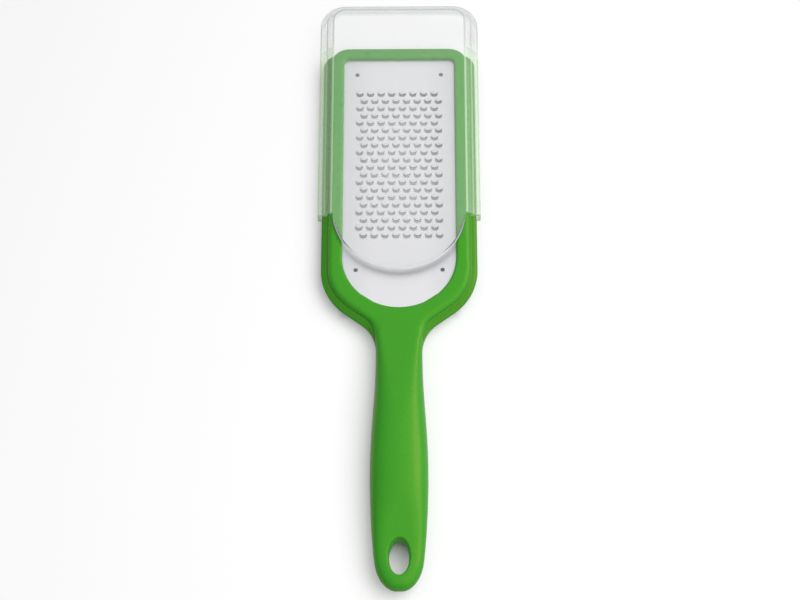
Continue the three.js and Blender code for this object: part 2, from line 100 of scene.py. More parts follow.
class BodySizes(bpy.types.PropertyGroup):
    """Sizes of the two green mouldings"""

    back_depth: length("Back depth", 7.5, "Resting plane to the joint between the mouldings")
    band_height: length("Band height", 2.55, "Raised band round the window, above its own base")
    band_corner: length("Band corner", 9.0, "Outer corner of the band at the tip")
    band_edge: length("Band edge", 1.9, "Height of the rounding along the band's outer edge")
    band_crown: length("Band crown", 2.6, "Width of that rounding")
    back_edge: length("Back edge", 1.2, "Rounding of the rim's edge at the back")
    flange_thickness: length("Flange thickness", 2.6, "Flange that the cover runs on")
    flange_setback: length("Flange setback", 3.2, "From the head's tip back to the flange")
    flange_corner: length("Flange corner", 5.5, "Corner of the flange at the tip")
    flange_edge: length("Flange edge", 1.1, "Rounding of the flange's edge")
    flange_slope: length("Flange slope", 0.7, "Fall of the flange's top towards its edge")
    band_flare: length("Band flare", 1.3, "Hollow curve from the band's side onto the flange")
    shoulder_y: length("Shoulder", 6.55, "Where the head's sides begin to turn in")
    shoulder_radius: length("Shoulder radius", 27.5, "Curve of the head into the neck")
    shoulder_turn: bpy.props.FloatProperty(
        name="Shoulder turn",
        description="How far the shoulder turns before the neck",
        default=math.radians(53.0),
        unit="ROTATION",
        subtype="ANGLE",
    )
    neck_width: length("Neck width", 20.9, "Narrowest part of the handle")
    neck_radius: length("Neck radius", 17.0, "Hollow curve from the shoulder into the neck")
    neck_flare: length("Neck flare", 2.1, "Widening of the handle on each side where it joins the band")
    neck_run: length("Neck run", 17.0, "Length of that widening")
    neck_blend: length("Neck blend", 2.4, "Softening where the band's edge meets the handle's")
    grip_width: length("Grip width", 25.7, "Widest part of the grip")
    grip_from_end: length("Grip from end", 53.4, "Handle end to the widest part of the grip")
    grip_rise: length("Grip rise", 7.7, "Top of the grip above the front moulding's base")
    grip_lead: length("Grip lead", 21.4, "Full height begins this far ahead of the widest part")
    grip_squareness: number("Grip squareness", 2.15, "Power of the grip's section, 2 for an ellipse")
    tail_width: length("Tail width", 21.4, "Handle where its round end begins")
    tail_length: length("Tail length", 12.7, "Round end of the handle")
    tail_rise: length("Tail rise", 3.7, "Half the handle's thickness at the hang hole")
    tail_round: length("Tail rounding", 5.5, "Width of the rounding along the tail's edge")
    tail_flat: length("Tail flat", 2.4, "Blunt tip of the handle")
    hang_width: length("Hang hole width", 8.4, "Width of the hang hole")
    hang_length: length("Hang hole length", 15.5, "Length of the hang hole")
    hang_from_end: length("Hang hole from end", 14.6, "Handle end to the middle of the hole")
    hang_lip: length("Hang hole lip", 1.1, "Rounding of the hole's edge in the front moulding")
    hang_lip_back: length("Hang hole back lip", 3.0, "Rounding of the hole's edge in the back moulding")


class PlateSizes(bpy.types.PropertyGroup):
    """Sizes of the window, the plate and its teeth"""

    window_width: length("Window width", 52.0, "Opening in the head")
    window_from_tip: length("Window from tip", 6.0, "Head's tip to the window")
    window_length: length("Window length", 132.2, "Window's straight top to its round end")
    window_corner: length("Window corner", 2.6, "Corner of the window at the tip")
    window_edge: length("Window edge", 1.2, "Rounding of the band's inner edge")
    rim: length("Rim", 3.0, "Plate held under the band")
    groove: length("Groove", 3.3, "Depth of the groove that the plate's rim sits in")
    clearance: length("Clearance", 0.1, "Between the plate and its groove")
    sheet: length("Sheet", 0.5, "Thickness of the sheet")
    hole: length("Locating hole", 2.0, "Width of a locating hole")
    hole_span: length("Hole span", 39.6, "Across a pair of locating holes")
    hole_upper: length("Upper holes", 110.35, "Place of the upper pair")
    hole_lower: length("Lower holes", 5.85, "Place of the lower pair")
    field_middle: length("Field middle", 61.5, "Middle of the toothed field")
    rows: bpy.props.IntProperty(name="Rows", description="Rows of teeth", default=20)
    row_teeth: bpy.props.IntProperty(name="Teeth in a row", description="Teeth in each row", default=8)
    pitch: length("Tooth pitch", 5.0, "From tooth to tooth along a row")
    row_pitch: length("Row pitch", 4.0, "From row to row")
    stagger: length("Stagger", 2.0, "Shift of every second row")
    tooth_width: length("Tooth width", 3.5, "Width of a tooth's opening")
    tooth_sides: length("Tooth sides", 1.0, "Where the cutting edge meets the sheet, from the tooth's middle")
    tooth_back: length("Tooth back", 1.85, "Start of the raised scoop")
    tooth_front: length("Tooth front", 1.4, "Front of the opening")
    tooth_lip: length("Tooth lip", 0.1, "Middle of the cutting edge")
    tooth_height: length("Tooth height", 0.55, "Cutting edge above the sheet")


class CoverSizes(bpy.types.PropertyGroup):
    """Sizes of the clear cover"""

    wall: length("Wall", 1.4, "Thickness of the cover")
    panel_half: length("Panel half width", 34.35, "Half the raised panel's width")
    panel_step: length("Panel step", 0.5, "Step between the end wall and the raised panel")
    panel_corner: length("Panel corner", 9.0, "Corner of the raised panel")
    bevel_width: length("Bevel width", 3.0, "Bevel along the raised panel's edge, seen from above")
    bevel_height: length("Bevel height", 2.1, "Height of that bevel")
    inner_edge: length("Inner edge", 0.8, "Rounding of the raised panel's edge on the inside")
    corner: length("Corner", 12.0, "Outer corner of the closed end")
    ledge_top: length("Ledge top", 9.3, "Upper face of the side channels")
    channel_bottom: length("Channel bottom", 4.5, "Upper face of the lips below the flange")
    lip_half: length("Lip half width", 33.45, "Half the space between the lips")
    mouth: length("Mouth", 33.85, "Open end of the side channels")
    tongue_half: length("Tongue half width", 30.5, "Half the tongue's width")
    edge: length("Edge", 0.5, "Rounding of the cover's outer edges")
    tongue_edge: length("Tongue edge", 0.5, "Rounding of the tongue's edge")
    tongue_rim: length("Tongue rim", 3.4, "Part of the tongue that throws the deepest shadow")
    edge_light: share("Edge light", 0.88, "How much the long edges catch the light, 1 for a cut edge")


class Finishes(bpy.types.PropertyGroup):
    """Colours of the three materials"""

    green: colour("Green", (0.032, 0.400, 0.026), "Moulded plastic")
    green_deep: colour("Deep green", (0.029, 0.374, 0.024), "Darker clouds in the plastic")
    # Painted shade: the green is drawn darker low down, on the flange and at the band's foot
    green_foot_shade: colour("Low green", (0.025, 0.310, 0.020), "Plastic below the band")
    green_gloss: colour("Green gloss", (1.0, 0.25, 0.14), "Tint of the plastic's gloss")
    steel: colour("Steel", (0.96, 0.96, 0.975), "Plate")
    # Painted shade: the plate is drawn darker towards its sides, next to the band
    steel_shaded_side: colour("Steel side", (0.83, 0.84, 0.87), "Plate towards its sides")
    clear: colour("Clear", (0.985, 0.988, 0.988), "Tint of the clear cover")
    # Painted shade: beyond the head the cover is drawn greyer than over it
    clear_end_shade: colour("Clear end", (0.95, 0.955, 0.955), "Tint of the cover beyond the head")
    # Painted shade: the bevel and edges at the closed end are drawn dark grey
    clear_edge_shade: colour("Clear edge", (0.64, 0.65, 0.65), "Tint of the cover's bevel at its closed end")
    # Painted reflection: the cover's sides are drawn green, as if lit by the green flange below
    clear_rail_reflection: colour("Clear rail", (0.74, 0.94, 0.67), "Tint of the cover along its sides")
    clear_shade: colour("Clear shade", (0.97, 0.97, 0.97), "Light that falls through the cover")
    rim_shade: colour("Rim shade", (0.25, 0.26, 0.28), "Light that falls through the tongue's rim")


class StageSettings(bpy.types.PropertyGroup):
    """Floor, lamp, studio and camera"""

    camera_place: bpy.props.FloatVectorProperty(
        name="Camera",
        description="Place of the camera",
        default=(0.008962, -0.501291, 0.975547),
        subtype="TRANSLATION",
        unit="LENGTH",
    )
    camera_lens: bpy.props.FloatProperty(
        name="Lens",
        description="Focal length on a sensor 36 mm wide",
        default=108.0,
        unit="CAMERA",
    )
    floor_size: length("Floor", 30000.0, "Side of the floor")
    side_power: number("Side power", 10.6, "Large soft lamp on the right", "POWER")
    sky: number("Sky", 0.37, "Strength of the even light all round")
    horizon: share("Horizon", 0.48, "Brightness of the studio low down, as gloss and clear plastic show it")
    zenith: share("Zenith", 0.82, "Brightness of the studio overhead, as gloss and clear plastic show it")
    lean: share("Lean", 0.65, "How much paler the studio is on the right than in the middle")
    ahead: share("Ahead", 0.42, "How much paler the studio is beyond the tip than in the middle")
    card: number("Card", 2.8, "Bright card on the right, as gloss and clear plastic show it")


# Plan curves
def smooth(values, low, high):
    t = np.clip((values - low) / (high - low), 0.0, 1.0)
    return t * t * (3.0 - 2.0 * t)


def mix(a, b, t):
    return a + (b - a) * t


def arc(centre, radius, start, end, count):
    angles = np.linspace(start, end, count)
    return np.column_stack((centre[0] + radius * np.cos(angles), centre[1] + radius * np.sin(angles)))


def bezier(a, b, c, d, count):
    t = np.linspace(0.0, 1.0, count)[:, None]
    a, b, c, d = (np.array(p) for p in (a, b, c, d))
    return a * (1 - t) ** 3 + 3 * b * t * (1 - t) ** 2 + 3 * c * t * t * (1 - t) + d * t ** 3


def mirrored(side):
    """Points of a right side on the left, the other way round and without the first and the last."""
    return side[-2:0:-1] * (-1.0, 1.0)


# Where the handle's patch begins and ends, how full the handle's curves are, and how near two points may lie
HEAD_PATCH = 11.5 * MM
TAIL_PATCH = 14.0 * MM
HANDLE_ROWS = 64
CURVE_EASE = 0.4
TAIL_TAPER = 0.125
TAIL_FULLNESS = 0.6
TIP_FULLNESS = 0.5
JOIN_MARGIN = 0.1 * MM
TAIL_MARGIN = 0.3 * MM
POINTS_AT_ONCE = 2000
ELLIPSE = 2.0


class Plan:
    """Plan of the body: half widths along Y, heights along Y, and the station rows between its patches."""

    def __init__(self, body, plate):
        self.body = body
        self.tip = FRONT_HIGH.y
        self.end = BACK_LOW.y
        self.head_half = BACK_HIGH.x
        self.ledge = BACK_HIGH.x - FRONT_HIGH.x
        self.joint = body.back_depth
        self.base = FRONT_LOW.z
        self.shoulder_x = self.head_half - body.shoulder_radius
        self.neck_x = body.neck_width / 2 + body.neck_radius
        turn = body.shoulder_turn
        arcs = body.shoulder_radius + body.neck_radius
        across = self.neck_x - self.shoulder_x - arcs * math.cos(turn)
        tangent = -across / math.sin(turn)
        self.neck_y = body.shoulder_y - arcs * math.sin(turn) - tangent * math.cos(turn)
        self.join = self.neck_y + (body.neck_radius + self.ledge) * math.sin(turn)
        self.grip = self.end + body.grip_from_end
        self.tail = self.end + body.tail_length
        self.hang = self.end + body.hang_from_end
        self.window_half = plate.window_width / 2
        self.window_top = self.tip - plate.window_from_tip
        self.window_round = self.window_top - plate.window_length + self.window_half
        self.window_corner = plate.window_corner
        self.handle_edge = self.draw_handle_edge()
        self.head_end = self.join - HEAD_PATCH
        self.tail_start = self.hang + TAIL_PATCH

    def draw_handle_edge(self):
        b = self.body
        neck = b.neck_width / 2
        grip = b.grip_width / 2
        tail = b.tail_width / 2
        hollow = self.join - b.neck_run
        to_grip = (hollow - self.grip) * CURVE_EASE
        to_tail = (self.grip - self.tail) * CURVE_EASE
        from_grip = self.tail + to_tail / 2
        round_start = self.tail - b.tail_length * TAIL_FULLNESS
        bend = self.join - b.neck_run * CURVE_EASE
        first = bezier(
            (neck + b.neck_flare, self.join),
            (neck + b.neck_flare / 3, mix(self.join, bend, 2 / 3)),
            (neck, mix(hollow, bend, 2 / 3)),
            (neck, hollow),
            20,
        )
        second = bezier(
            (neck, hollow),
            (neck, hollow - to_grip),
            (grip, self.grip + to_grip),
            (grip, self.grip),
            40,
        )
        third = bezier(
            (grip, self.grip),
            (grip, self.grip - to_tail),
            (tail + TAIL_TAPER * (from_grip - self.tail), from_grip),
            (tail, self.tail),
            30,
        )
        last = bezier(
            (tail, self.tail),
            (tail - TAIL_TAPER * (self.tail - round_start), round_start),
            (tail * TIP_FULLNESS, self.end),
            (b.tail_flat / 2, self.end),
            40,
        )
        return np.vstack((first, second[1:], third[1:], last[1:]))

    def head_edge(self, inset, setback, corner):
        b = self.body
        half = self.head_half - inset
        tip = self.tip - setback
        turn = b.shoulder_turn
        return np.vstack((
            np.linspace((0.0, tip), (half - corner, tip), 14)[:-1],
            arc((half - corner, tip - corner), corner, QUARTER, 0.0, 20),
            np.linspace((half, tip - corner), (half, b.shoulder_y), 46)[1:-1],
            arc((self.shoulder_x, b.shoulder_y), b.shoulder_radius - inset, 0.0, -turn, 30),
            arc((self.neck_x, self.neck_y), b.neck_radius + inset, math.pi - turn, math.pi, 30),
        ))

    def half_of(self, edge, y):
        return np.interp(y, edge[::-1, 1], edge[::-1, 0])

    def body_half(self, y):
        head = self.half_of(self.head_edge(self.ledge, 0.0, self.body.band_corner), y)
        handle = self.half_of(self.handle_edge, y)
        soft = np.maximum(self.body.neck_blend - np.abs(head - handle), 0.0) / self.body.neck_blend
        joined = np.maximum(head, handle) + soft * soft * self.body.neck_blend / 4
        return np.where(np.asarray(y) > self.join, head, joined)

    def head_side(self):
        edge = self.head_edge(self.ledge, 0.0, self.body.band_corner)
        upper = edge[edge[:, 1] > self.join + JOIN_MARGIN]
        ys = np.linspace(self.join, self.head_end, 24)
        return np.vstack((upper, np.column_stack((self.body_half(ys), ys))))

    def tail_side(self):
        edge = self.handle_edge
        lower = edge[edge[:, 1] < self.tail_start - TAIL_MARGIN]
        start = [[self.body_half(self.tail_start), self.tail_start]]
        return np.vstack((start, lower, [[0.0, self.end]]))

    def rows(self):
        return np.linspace(self.head_end, self.tail_start, HANDLE_ROWS)

    def right_side(self):
        ys = self.rows()[1:-1]
        middle = np.column_stack((self.body_half(ys), ys))
        return np.vstack((self.head_side(), middle, self.tail_side()))

    def outline(self):
        side = self.right_side()
        return np.vstack((side, mirrored(side)))

    def window_point(self, points):
        """Nearest points of the window's outline."""
        half = self.window_half
        corner = self.window_corner
        box_x = half - corner
        box_y = self.window_top - corner
        result = np.empty_like(points)
        for i, (x, y) in enumerate(points):
            if y < self.window_round:
                centre, radius = np.array((0.0, self.window_round)), half
            else:
                centre = np.array((np.clip(x, -box_x, box_x), min(y, box_y)))
                radius = corner
            away = np.array((x, y)) - centre
            result[i] = centre + away / np.hypot(*away) * radius
        return result

    def window_distance(self, points):
        x = np.abs(points[..., 0])
        y = points[..., 1]
        round_end = np.hypot(x, y - self.window_round) - self.window_half
        across = x - (self.window_half - self.window_corner)
        along = y - (self.window_top - self.window_corner)
        outside = np.hypot(np.maximum(across, 0), np.maximum(along, 0))
        corner = outside + np.minimum(np.maximum(across, along), 0)
        return np.where(y < self.window_round, round_end, corner - self.window_corner)

    def hang_distance(self, points):
        x = points[..., 0]
        y = points[..., 1] - self.hang
        a = self.body.hang_width / 2
        b = self.body.hang_length / 2
        level = np.hypot(x / a, y / b)
        steep = np.hypot(x / a ** 2, y / b ** 2)
        return (level - 1.0) * level / steep

    def swell(self, y):
        return 1.0 - smooth(y, self.grip + self.body.grip_lead, self.join)

    def thinned(self, y):
        return 1.0 - smooth(y, self.hang, self.grip)


def distance_to(outline, points):
    """Distances from plan points to a closed outline."""
    flat = points.reshape(-1, 2)
    run = np.roll(outline, -1, axis=0) - outline
    square = np.maximum((run ** 2).sum(1), np.finfo(float).tiny)
    result = np.empty(len(flat))
    for first in range(0, len(flat), POINTS_AT_ONCE):
        some = slice(first, first + POINTS_AT_ONCE)
        part = flat[some, None, :]
        t = np.clip(((part - outline) * run).sum(2) / square, 0.0, 1.0)
        gap = part - (outline + t[..., None] * run)
        result[some] = np.sqrt((gap ** 2).sum(2).min(1))
    return result.reshape(points.shape[:-1])


def rounding(u, power):
    """Height of a rounded edge, from 0 at the edge to 1 past the rounding."""
    rest = 1.0 - np.clip(u, 0.0, 1.0)
    return (1.0 - rest ** power) ** (1.0 / power)


# Meshes
class Shape:
    """Vertices and faces of one piece."""

    def __init__(self):
        self.points = []
        self.faces = []
        self.marks = []

    def grid(self, grid, closed=False, mark=0.0):
        rows, columns = grid.shape[:2]
        start = len(self.points)
        self.points.extend(grid.reshape(-1, 3).tolist())
        wide = columns if closed else columns - 1
        marks = np.broadcast_to(mark, (rows - 1, wide))
        for j in range(rows - 1):
            for i in range(wide):
                a = start + j * columns + i
                b = start + j * columns + (i + 1) % columns
                self.faces.append((a, b, b + columns, a + columns))
                self.marks.append(float(marks[j, i]))

    def face(self, points, mark=0.0):
        start = len(self.points)
        self.points.extend(np.asarray(points).tolist())
        self.faces.append(tuple(range(start, start + len(points))))
        self.marks.append(mark)

    def mesh(self, name, crease, closed=True):
        """The piece as a mesh: outward faces if it is closed, upward ones if it is an open sheet."""
        raw = bpy.data.meshes.new(name)
        raw.from_pydata(self.points, [], self.faces)
        if any(self.marks):
            raw.attributes.new("edge_light", "FLOAT", "FACE").data.foreach_set("value", self.marks)
        work = bmesh.new()
        work.from_mesh(raw)
        bmesh.ops.remove_doubles(work, verts=work.verts, dist=WELD)
        bmesh.ops.dissolve_degenerate(work, edges=work.edges, dist=WELD / 2)
        bmesh.ops.triangulate(work, faces=[f for f in work.faces if len(f.verts) > 4])
        if closed:
            bmesh.ops.recalc_face_normals(work, faces=work.faces)
        else:
            work.normal_update()
            bmesh.ops.reverse_faces(work, faces=[f for f in work.faces if f.normal.z < 0.0])
        work.to_mesh(raw)
        work.free()
        raw.shade_smooth()
        raw.set_sharp_from_angle(angle=math.radians(crease))
        return raw


def place(name, data):
    piece = bpy.data.objects.new(name, data)
    bpy.context.scene.collection.objects.link(piece)
    return piece


def lift(points, heights):
    """Plan points with heights as points in space."""
    heights = np.broadcast_to(heights, points.shape[:-1])
    return np.concatenate((points, heights[..., None]), axis=-1)


# Shares of the half width across the handle, then distances from the window's and the body's edges
COLUMNS = np.sin(np.linspace(-QUARTER, QUARTER, 49))
WINDOW_STEPS = np.array((0.0, 0.04, 0.12, 0.25, 0.42, 0.62, 0.85, 1.6, 2.5)) * MM
OUTLINE_STEPS = np.array((1.6, 1.2, 0.9, 0.66, 0.45, 0.28, 0.15, 0.06, 0.015, 0.0)) * MM
# Rings across the band between its edges, the groove's wall, and the rings round the hang hole
BAND_PARTS = (0.25, 0.5, 0.75)
GROOVE_STEP = 0.01 * MM
HANG_SPREAD = 4.0 * MM
HANG_RINGS = 26
# Which of the body's three patches close on themselves
PATCH_RINGS = (True, False, True)
# How far below and above the join the upright edges turn into the handle's round ones
WALL_FADE = (26.0 * MM, 2.0 * MM)
# The band's foot takes at most this share of the flange, and foot and edges turn in these steps
FOOT_SHARE = 0.45
FOOT_ANGLES = np.linspace(0.0, QUARTER, 6)
EDGE_ANGLES = np.linspace(0.0, QUARTER, 5)
# The flange's edge is looked for within this many ledges, by halving, and less than a sliver is nothing
FLANGE_SEARCH = 1.5
FLANGE_HALVINGS = 40
SLIVER = 0.02 * MM
BODY_CREASE = 38.0


def body_patches(plan, groove):
    """Plan patches that cover the body: a ring round the window, the handle, a ring round the hang hole."""
    rows = plan.rows()
    halves = plan.body_half(rows)
    handle = np.dstack((halves[:, None] * COLUMNS, np.repeat(rows[:, None], len(COLUMNS), 1)))

    side = plan.head_side()
    outer = np.vstack((side[:-1], handle[0][::-1], mirrored(side)))
    inner = plan.window_point(outer)
    run = outer - inner
    reach = np.hypot(run[:, 0], run[:, 1])[:, None]
    aim = run / reach
    inside = groove + GROOVE_STEP
    rings = [inner + aim * step for step in (*WINDOW_STEPS, groove, inside)]
    for part in BAND_PARTS:
        rings.append(inner + aim * mix(inside, reach - OUTLINE_STEPS[0], part))
    rings.extend(outer - aim * step for step in OUTLINE_STEPS)
    head = np.array(rings)

    end = plan.tail_side()
    outer = np.vstack((handle[-1][:-1], end, mirrored(end)))
    a = plan.body.hang_width / 2
    b = plan.body.hang_length / 2
    angle = np.arctan2((outer[:, 1] - plan.hang) / (b + HANG_SPREAD), outer[:, 0] / (a + HANG_SPREAD))
    inner = np.column_stack((a * np.cos(angle), plan.hang + b * np.sin(angle)))
    parts = (1.0 - np.cos(np.linspace(0.0, math.pi, HANG_RINGS))) / 2
    tail = np.array([mix(inner, outer, part) for part in parts])
    return head, handle, tail


def section_height(plan, points, distance, rise, edge, wall, hang_lip):
    """Height of a moulding's skin away from the joint, for points and their distances from the outline."""
    y = points[..., 1]
    swell = plan.swell(y)
    half = plan.body_half(y)
    wide = mix(mix(edge, half, swell), plan.body.tail_round, plan.thinned(y))
    power = mix(ELLIPSE, plan.body.grip_squareness, swell)
    lip = rounding(plan.hang_distance(points) / hang_lip, ELLIPSE)
    return wall + (rise - wall) * rounding(distance / wide, power) * np.where(y < plan.tail_start, lip, 1.0)


def edge_drop(distance, edge):
    short = np.clip(edge - distance, 0.0, edge)
    return edge - np.sqrt(edge * edge - short * short)


def wall_share(plan, y):
    """1 round the head, where the edges stand upright, to 0 along the handle."""
    below, above = WALL_FADE
    return smooth(y, plan.join - below, plan.join + above)


def front_mesh(body, plate):
    plan = Plan(body, plate)
    outline = plan.outline()
    shape = Shape()

    def rise(y):
        swollen = mix(body.band_height, body.grip_rise, plan.swell(y))
        return mix(swollen, body.tail_rise, plan.thinned(y))

    def wall(y):
        return (body.band_height - body.band_edge) * wall_share(plan, y)

    def top(points):
        y = points[..., 1]
        gap = distance_to(outline, points)
        height = section_height(plan, points, gap, rise(y), body.band_crown, wall(y), body.hang_lip)
        return plan.base + height - edge_drop(plan.window_distance(points), plate.window_edge)

    plate_top = PLATE_LOW.z + plate.sheet + plate.clearance
    patches = body_patches(plan, plate.groove)
    for patch, ring in zip(patches, PATCH_RINGS):
        shape.grid(lift(patch, top(patch)), ring)
        under = np.full(patch.shape[:2], plan.base)
        if patch is patches[0]:
            under[:len(WINDOW_STEPS) + 1] = plate_top
        shape.grid(lift(patch, under), ring)
    inner = patches[0][0]
    shape.grid(np.array((lift(inner, top(inner)), lift(inner, plate_top))), True)
    reach, normal = flange_reach(plan, outline)
    flare = flange_foot(body, reach)
    side = wall(outline[:, 1])
    loops = []
    for angle in FOOT_ANGLES:
        out = outline + normal * (flare * (1.0 - math.cos(angle)))[:, None]
        loops.append(lift(out, plan.base + side * (1.0 - math.sin(angle))))
    loops.append(lift(outline, plan.base))
    shape.grid(np.array(loops), True)
    return shape.mesh("front_moulding", BODY_CREASE)


def flange_reach(plan, outline):
    """How far the flange stands out from each point of the outline, and the way that it points."""
    body = plan.body
    edge = plan.head_edge(0.0, body.flange_setback, body.flange_corner)
    ahead = np.roll(outline, -1, axis=0) - np.roll(outline, 1, axis=0)
    ahead /= np.hypot(ahead[:, 0], ahead[:, 1])[:, None]
    normal = np.column_stack((-ahead[:, 1], ahead[:, 0]))

    def beyond(points):
        x = np.abs(points[:, 0])
        y = points[:, 1]
        return (x > plan.half_of(edge, y)) | (y > plan.tip - body.flange_setback) | (y < plan.neck_y)

    low = np.zeros(len(outline))
    high = np.full(len(outline), plan.ledge * FLANGE_SEARCH)
    for _ in range(FLANGE_HALVINGS):
        middle = (low + high) / 2
        out = beyond(outline + normal * middle[:, None])
        high = np.where(out, middle, high)
        low = np.where(out, low, middle)
    return np.where(low < SLIVER, 0.0, low), normal


def flange_foot(body, reach):
    """How far the band's foot runs out onto the flange."""
    return np.minimum(body.band_flare, reach * FOOT_SHARE)


def back_mesh(body, plate):
    plan = Plan(body, plate)
    outline = plan.outline()
    shape = Shape()

    def depth(y):
        return mix(plan.joint, body.tail_rise, plan.thinned(y))

    def wall(y):
        return (plan.joint - body.back_edge) * wall_share(plan, y)

    def bottom(points):
        y = points[..., 1]
        gap = distance_to(outline, points)
        height = section_height(plan, points, gap, depth(y), body.back_edge, wall(y), body.hang_lip_back)
        return plan.joint - height + edge_drop(plan.window_distance(points), plate.window_edge)

    patches = body_patches(plan, plate.groove)
    for patch, ring in zip(patches, PATCH_RINGS):
        shape.grid(lift(patch, bottom(patch)), ring)
        shape.grid(lift(patch, plan.joint), ring)
    inner = patches[0][0]
    shape.grid(np.array((lift(inner, plan.joint), lift(inner, bottom(inner)))), True)

    reach, normal = flange_reach(plan, outline)
    foot = plan.joint - wall(outline[:, 1])
    under = np.maximum(foot, plan.joint - body.flange_thickness)
    edge = np.minimum(body.flange_edge, np.minimum(reach, plan.joint - under) / 3)
    flare = flange_foot(body, reach)
    drop = np.minimum(body.flange_slope, (reach - flare) / 3)
    loops = [lift(outline, plan.joint), lift(outline + normal * flare[:, None], plan.joint)]
    upper = [(angle, plan.joint - drop, -edge) for angle in EDGE_ANGLES]
    lower = [(angle, under, edge) for angle in EDGE_ANGLES[::-1]]
    for angle, level, rise in upper + lower:
        out = reach - edge * (1.0 - math.sin(angle))
        height = level + rise * (1.0 - math.cos(angle))
        loops.append(lift(outline + normal * out[:, None], height))
    loops.append(lift(outline, under))
    loops.append(lift(outline, foot))
    shape.grid(np.array(loops), True)
    return shape.mesh("back_moulding", BODY_CREASE)


# Cover
# Points in a rounded corner of the section, and the corners that catch the light
CORNER_STEPS = 5
LIT_CORNERS = (1, 2, 3, 4)
COVER_CREASE = 40.0
# Lengths over which the closed end's painted shade and the side channels' painted green reflection come in
END_FADE = (118.0 * MM, 130.0 * MM)
RAIL_REFLECTION_FADE = (30.0 * MM, 36.0 * MM)
# Marks on the cover's faces. Their size brings in painted reflection on the sides and painted shade at the
# closed end, makes a face milky, and a mark near the rim's throws a shadow. A pair is for the sides and the
# end.
BEVEL_MARKS = (-0.6, -0.25)
RAIL_MARKS = (-0.8, -0.5)
END_MARK = -0.85
RIM_MARK = 0.4
LIP_MARK = 0.85
CUT_MARK = 1.0
# The tongue's rim: shares of its width, and the angles over which it runs out at both ends
RIM_PARTS = (1.0, 0.85, 0.7, 0.55, 0.4)
WIDE_FADE = 1.3
NARROW_FADE = 0.3
TONGUE_POINTS = 97


def cover_path(half, end, corner, mouth):
    """Plan of one line of the cover's section: up the left side, across the end, down the right side."""
    right = np.vstack((
        np.linspace((0.0, end), (half - corner, end), 6)[:-1],
        arc((half - corner, end - corner), corner, QUARTER, 0.0, 16),
        np.linspace((half, end - corner), (half, mouth), 8)[1:],
    ))
    return np.vstack((right[:0:-1] * (-1.0, 1.0), right))


def eased(corners, radii, steps):
    """A bent line with its corners rounded. Widths and heights give the lengths, and all values follow."""
    line_points = [corners[0]]
    for before, corner, after, radius in zip(corners, corners[1:], corners[2:], radii[1:]):
        start = corner + (before - corner) * radius / np.hypot(*(before - corner)[[0, 3]])
        stop = corner + (after - corner) * radius / np.hypot(*(after - corner)[[0, 3]])
        for t in np.linspace(0.0, 1.0, steps):
            line_points.append(start * (1 - t) ** 2 + 2 * corner * t * (1 - t) + stop * t * t)
    line_points.append(corners[-1])
    return line_points


def cover_section(cover):
    """Lines of the section, from the panel's top, over the side channel and back below the panel.

    Each has its half width, the end of its path, the path's corner and its height."""
    end = COVER_HIGH.y
    half = COVER_HIGH.x
    top = COVER_HIGH.z
    low = COVER_LOW.z
    wall = cover.wall
    panel = np.array((cover.panel_half, end - cover.panel_step, cover.panel_corner, 0.0))
    rail = np.array((half, end, cover.corner, 0.0))
    room = np.array((cover.panel_half - wall, end - wall, cover.panel_corner - wall, 0.0))
    channel = np.array((half - wall, end - wall, cover.corner - wall, 0.0))
    lip = np.array((cover.lip_half, end - wall, cover.panel_corner - wall, 0.0))
    inward = np.array((1.0, 1.0, 1.0, 0.0))
    up = np.array((0.0, 0.0, 0.0, 1.0))
    ledge = cover.ledge_top
    small = cover.edge
    tiny = small / 2
    lines = [
        (panel - inward * (cover.panel_half - cover.tongue_half) + up * top, 0.0),
        (panel - inward * cover.bevel_width + up * top, small),
        (panel + up * (top - cover.bevel_height), small),
        (panel + up * ledge, tiny),
        (rail + up * ledge, small),
        (rail + up * low, small),
        (lip + up * low, tiny),
        (lip + up * cover.channel_bottom, tiny),
        (channel + up * cover.channel_bottom, tiny),
        (channel + up * (ledge - wall), tiny),
        (room + up * (ledge - wall), tiny),
        (room + up * (top - wall), cover.inner_edge),
        (room - inward * (cover.panel_half - wall - cover.tongue_half) + up * (top - wall), 0.0),
    ]
    return eased([corner for corner, _ in lines], [radius for _, radius in lines], CORNER_STEPS)


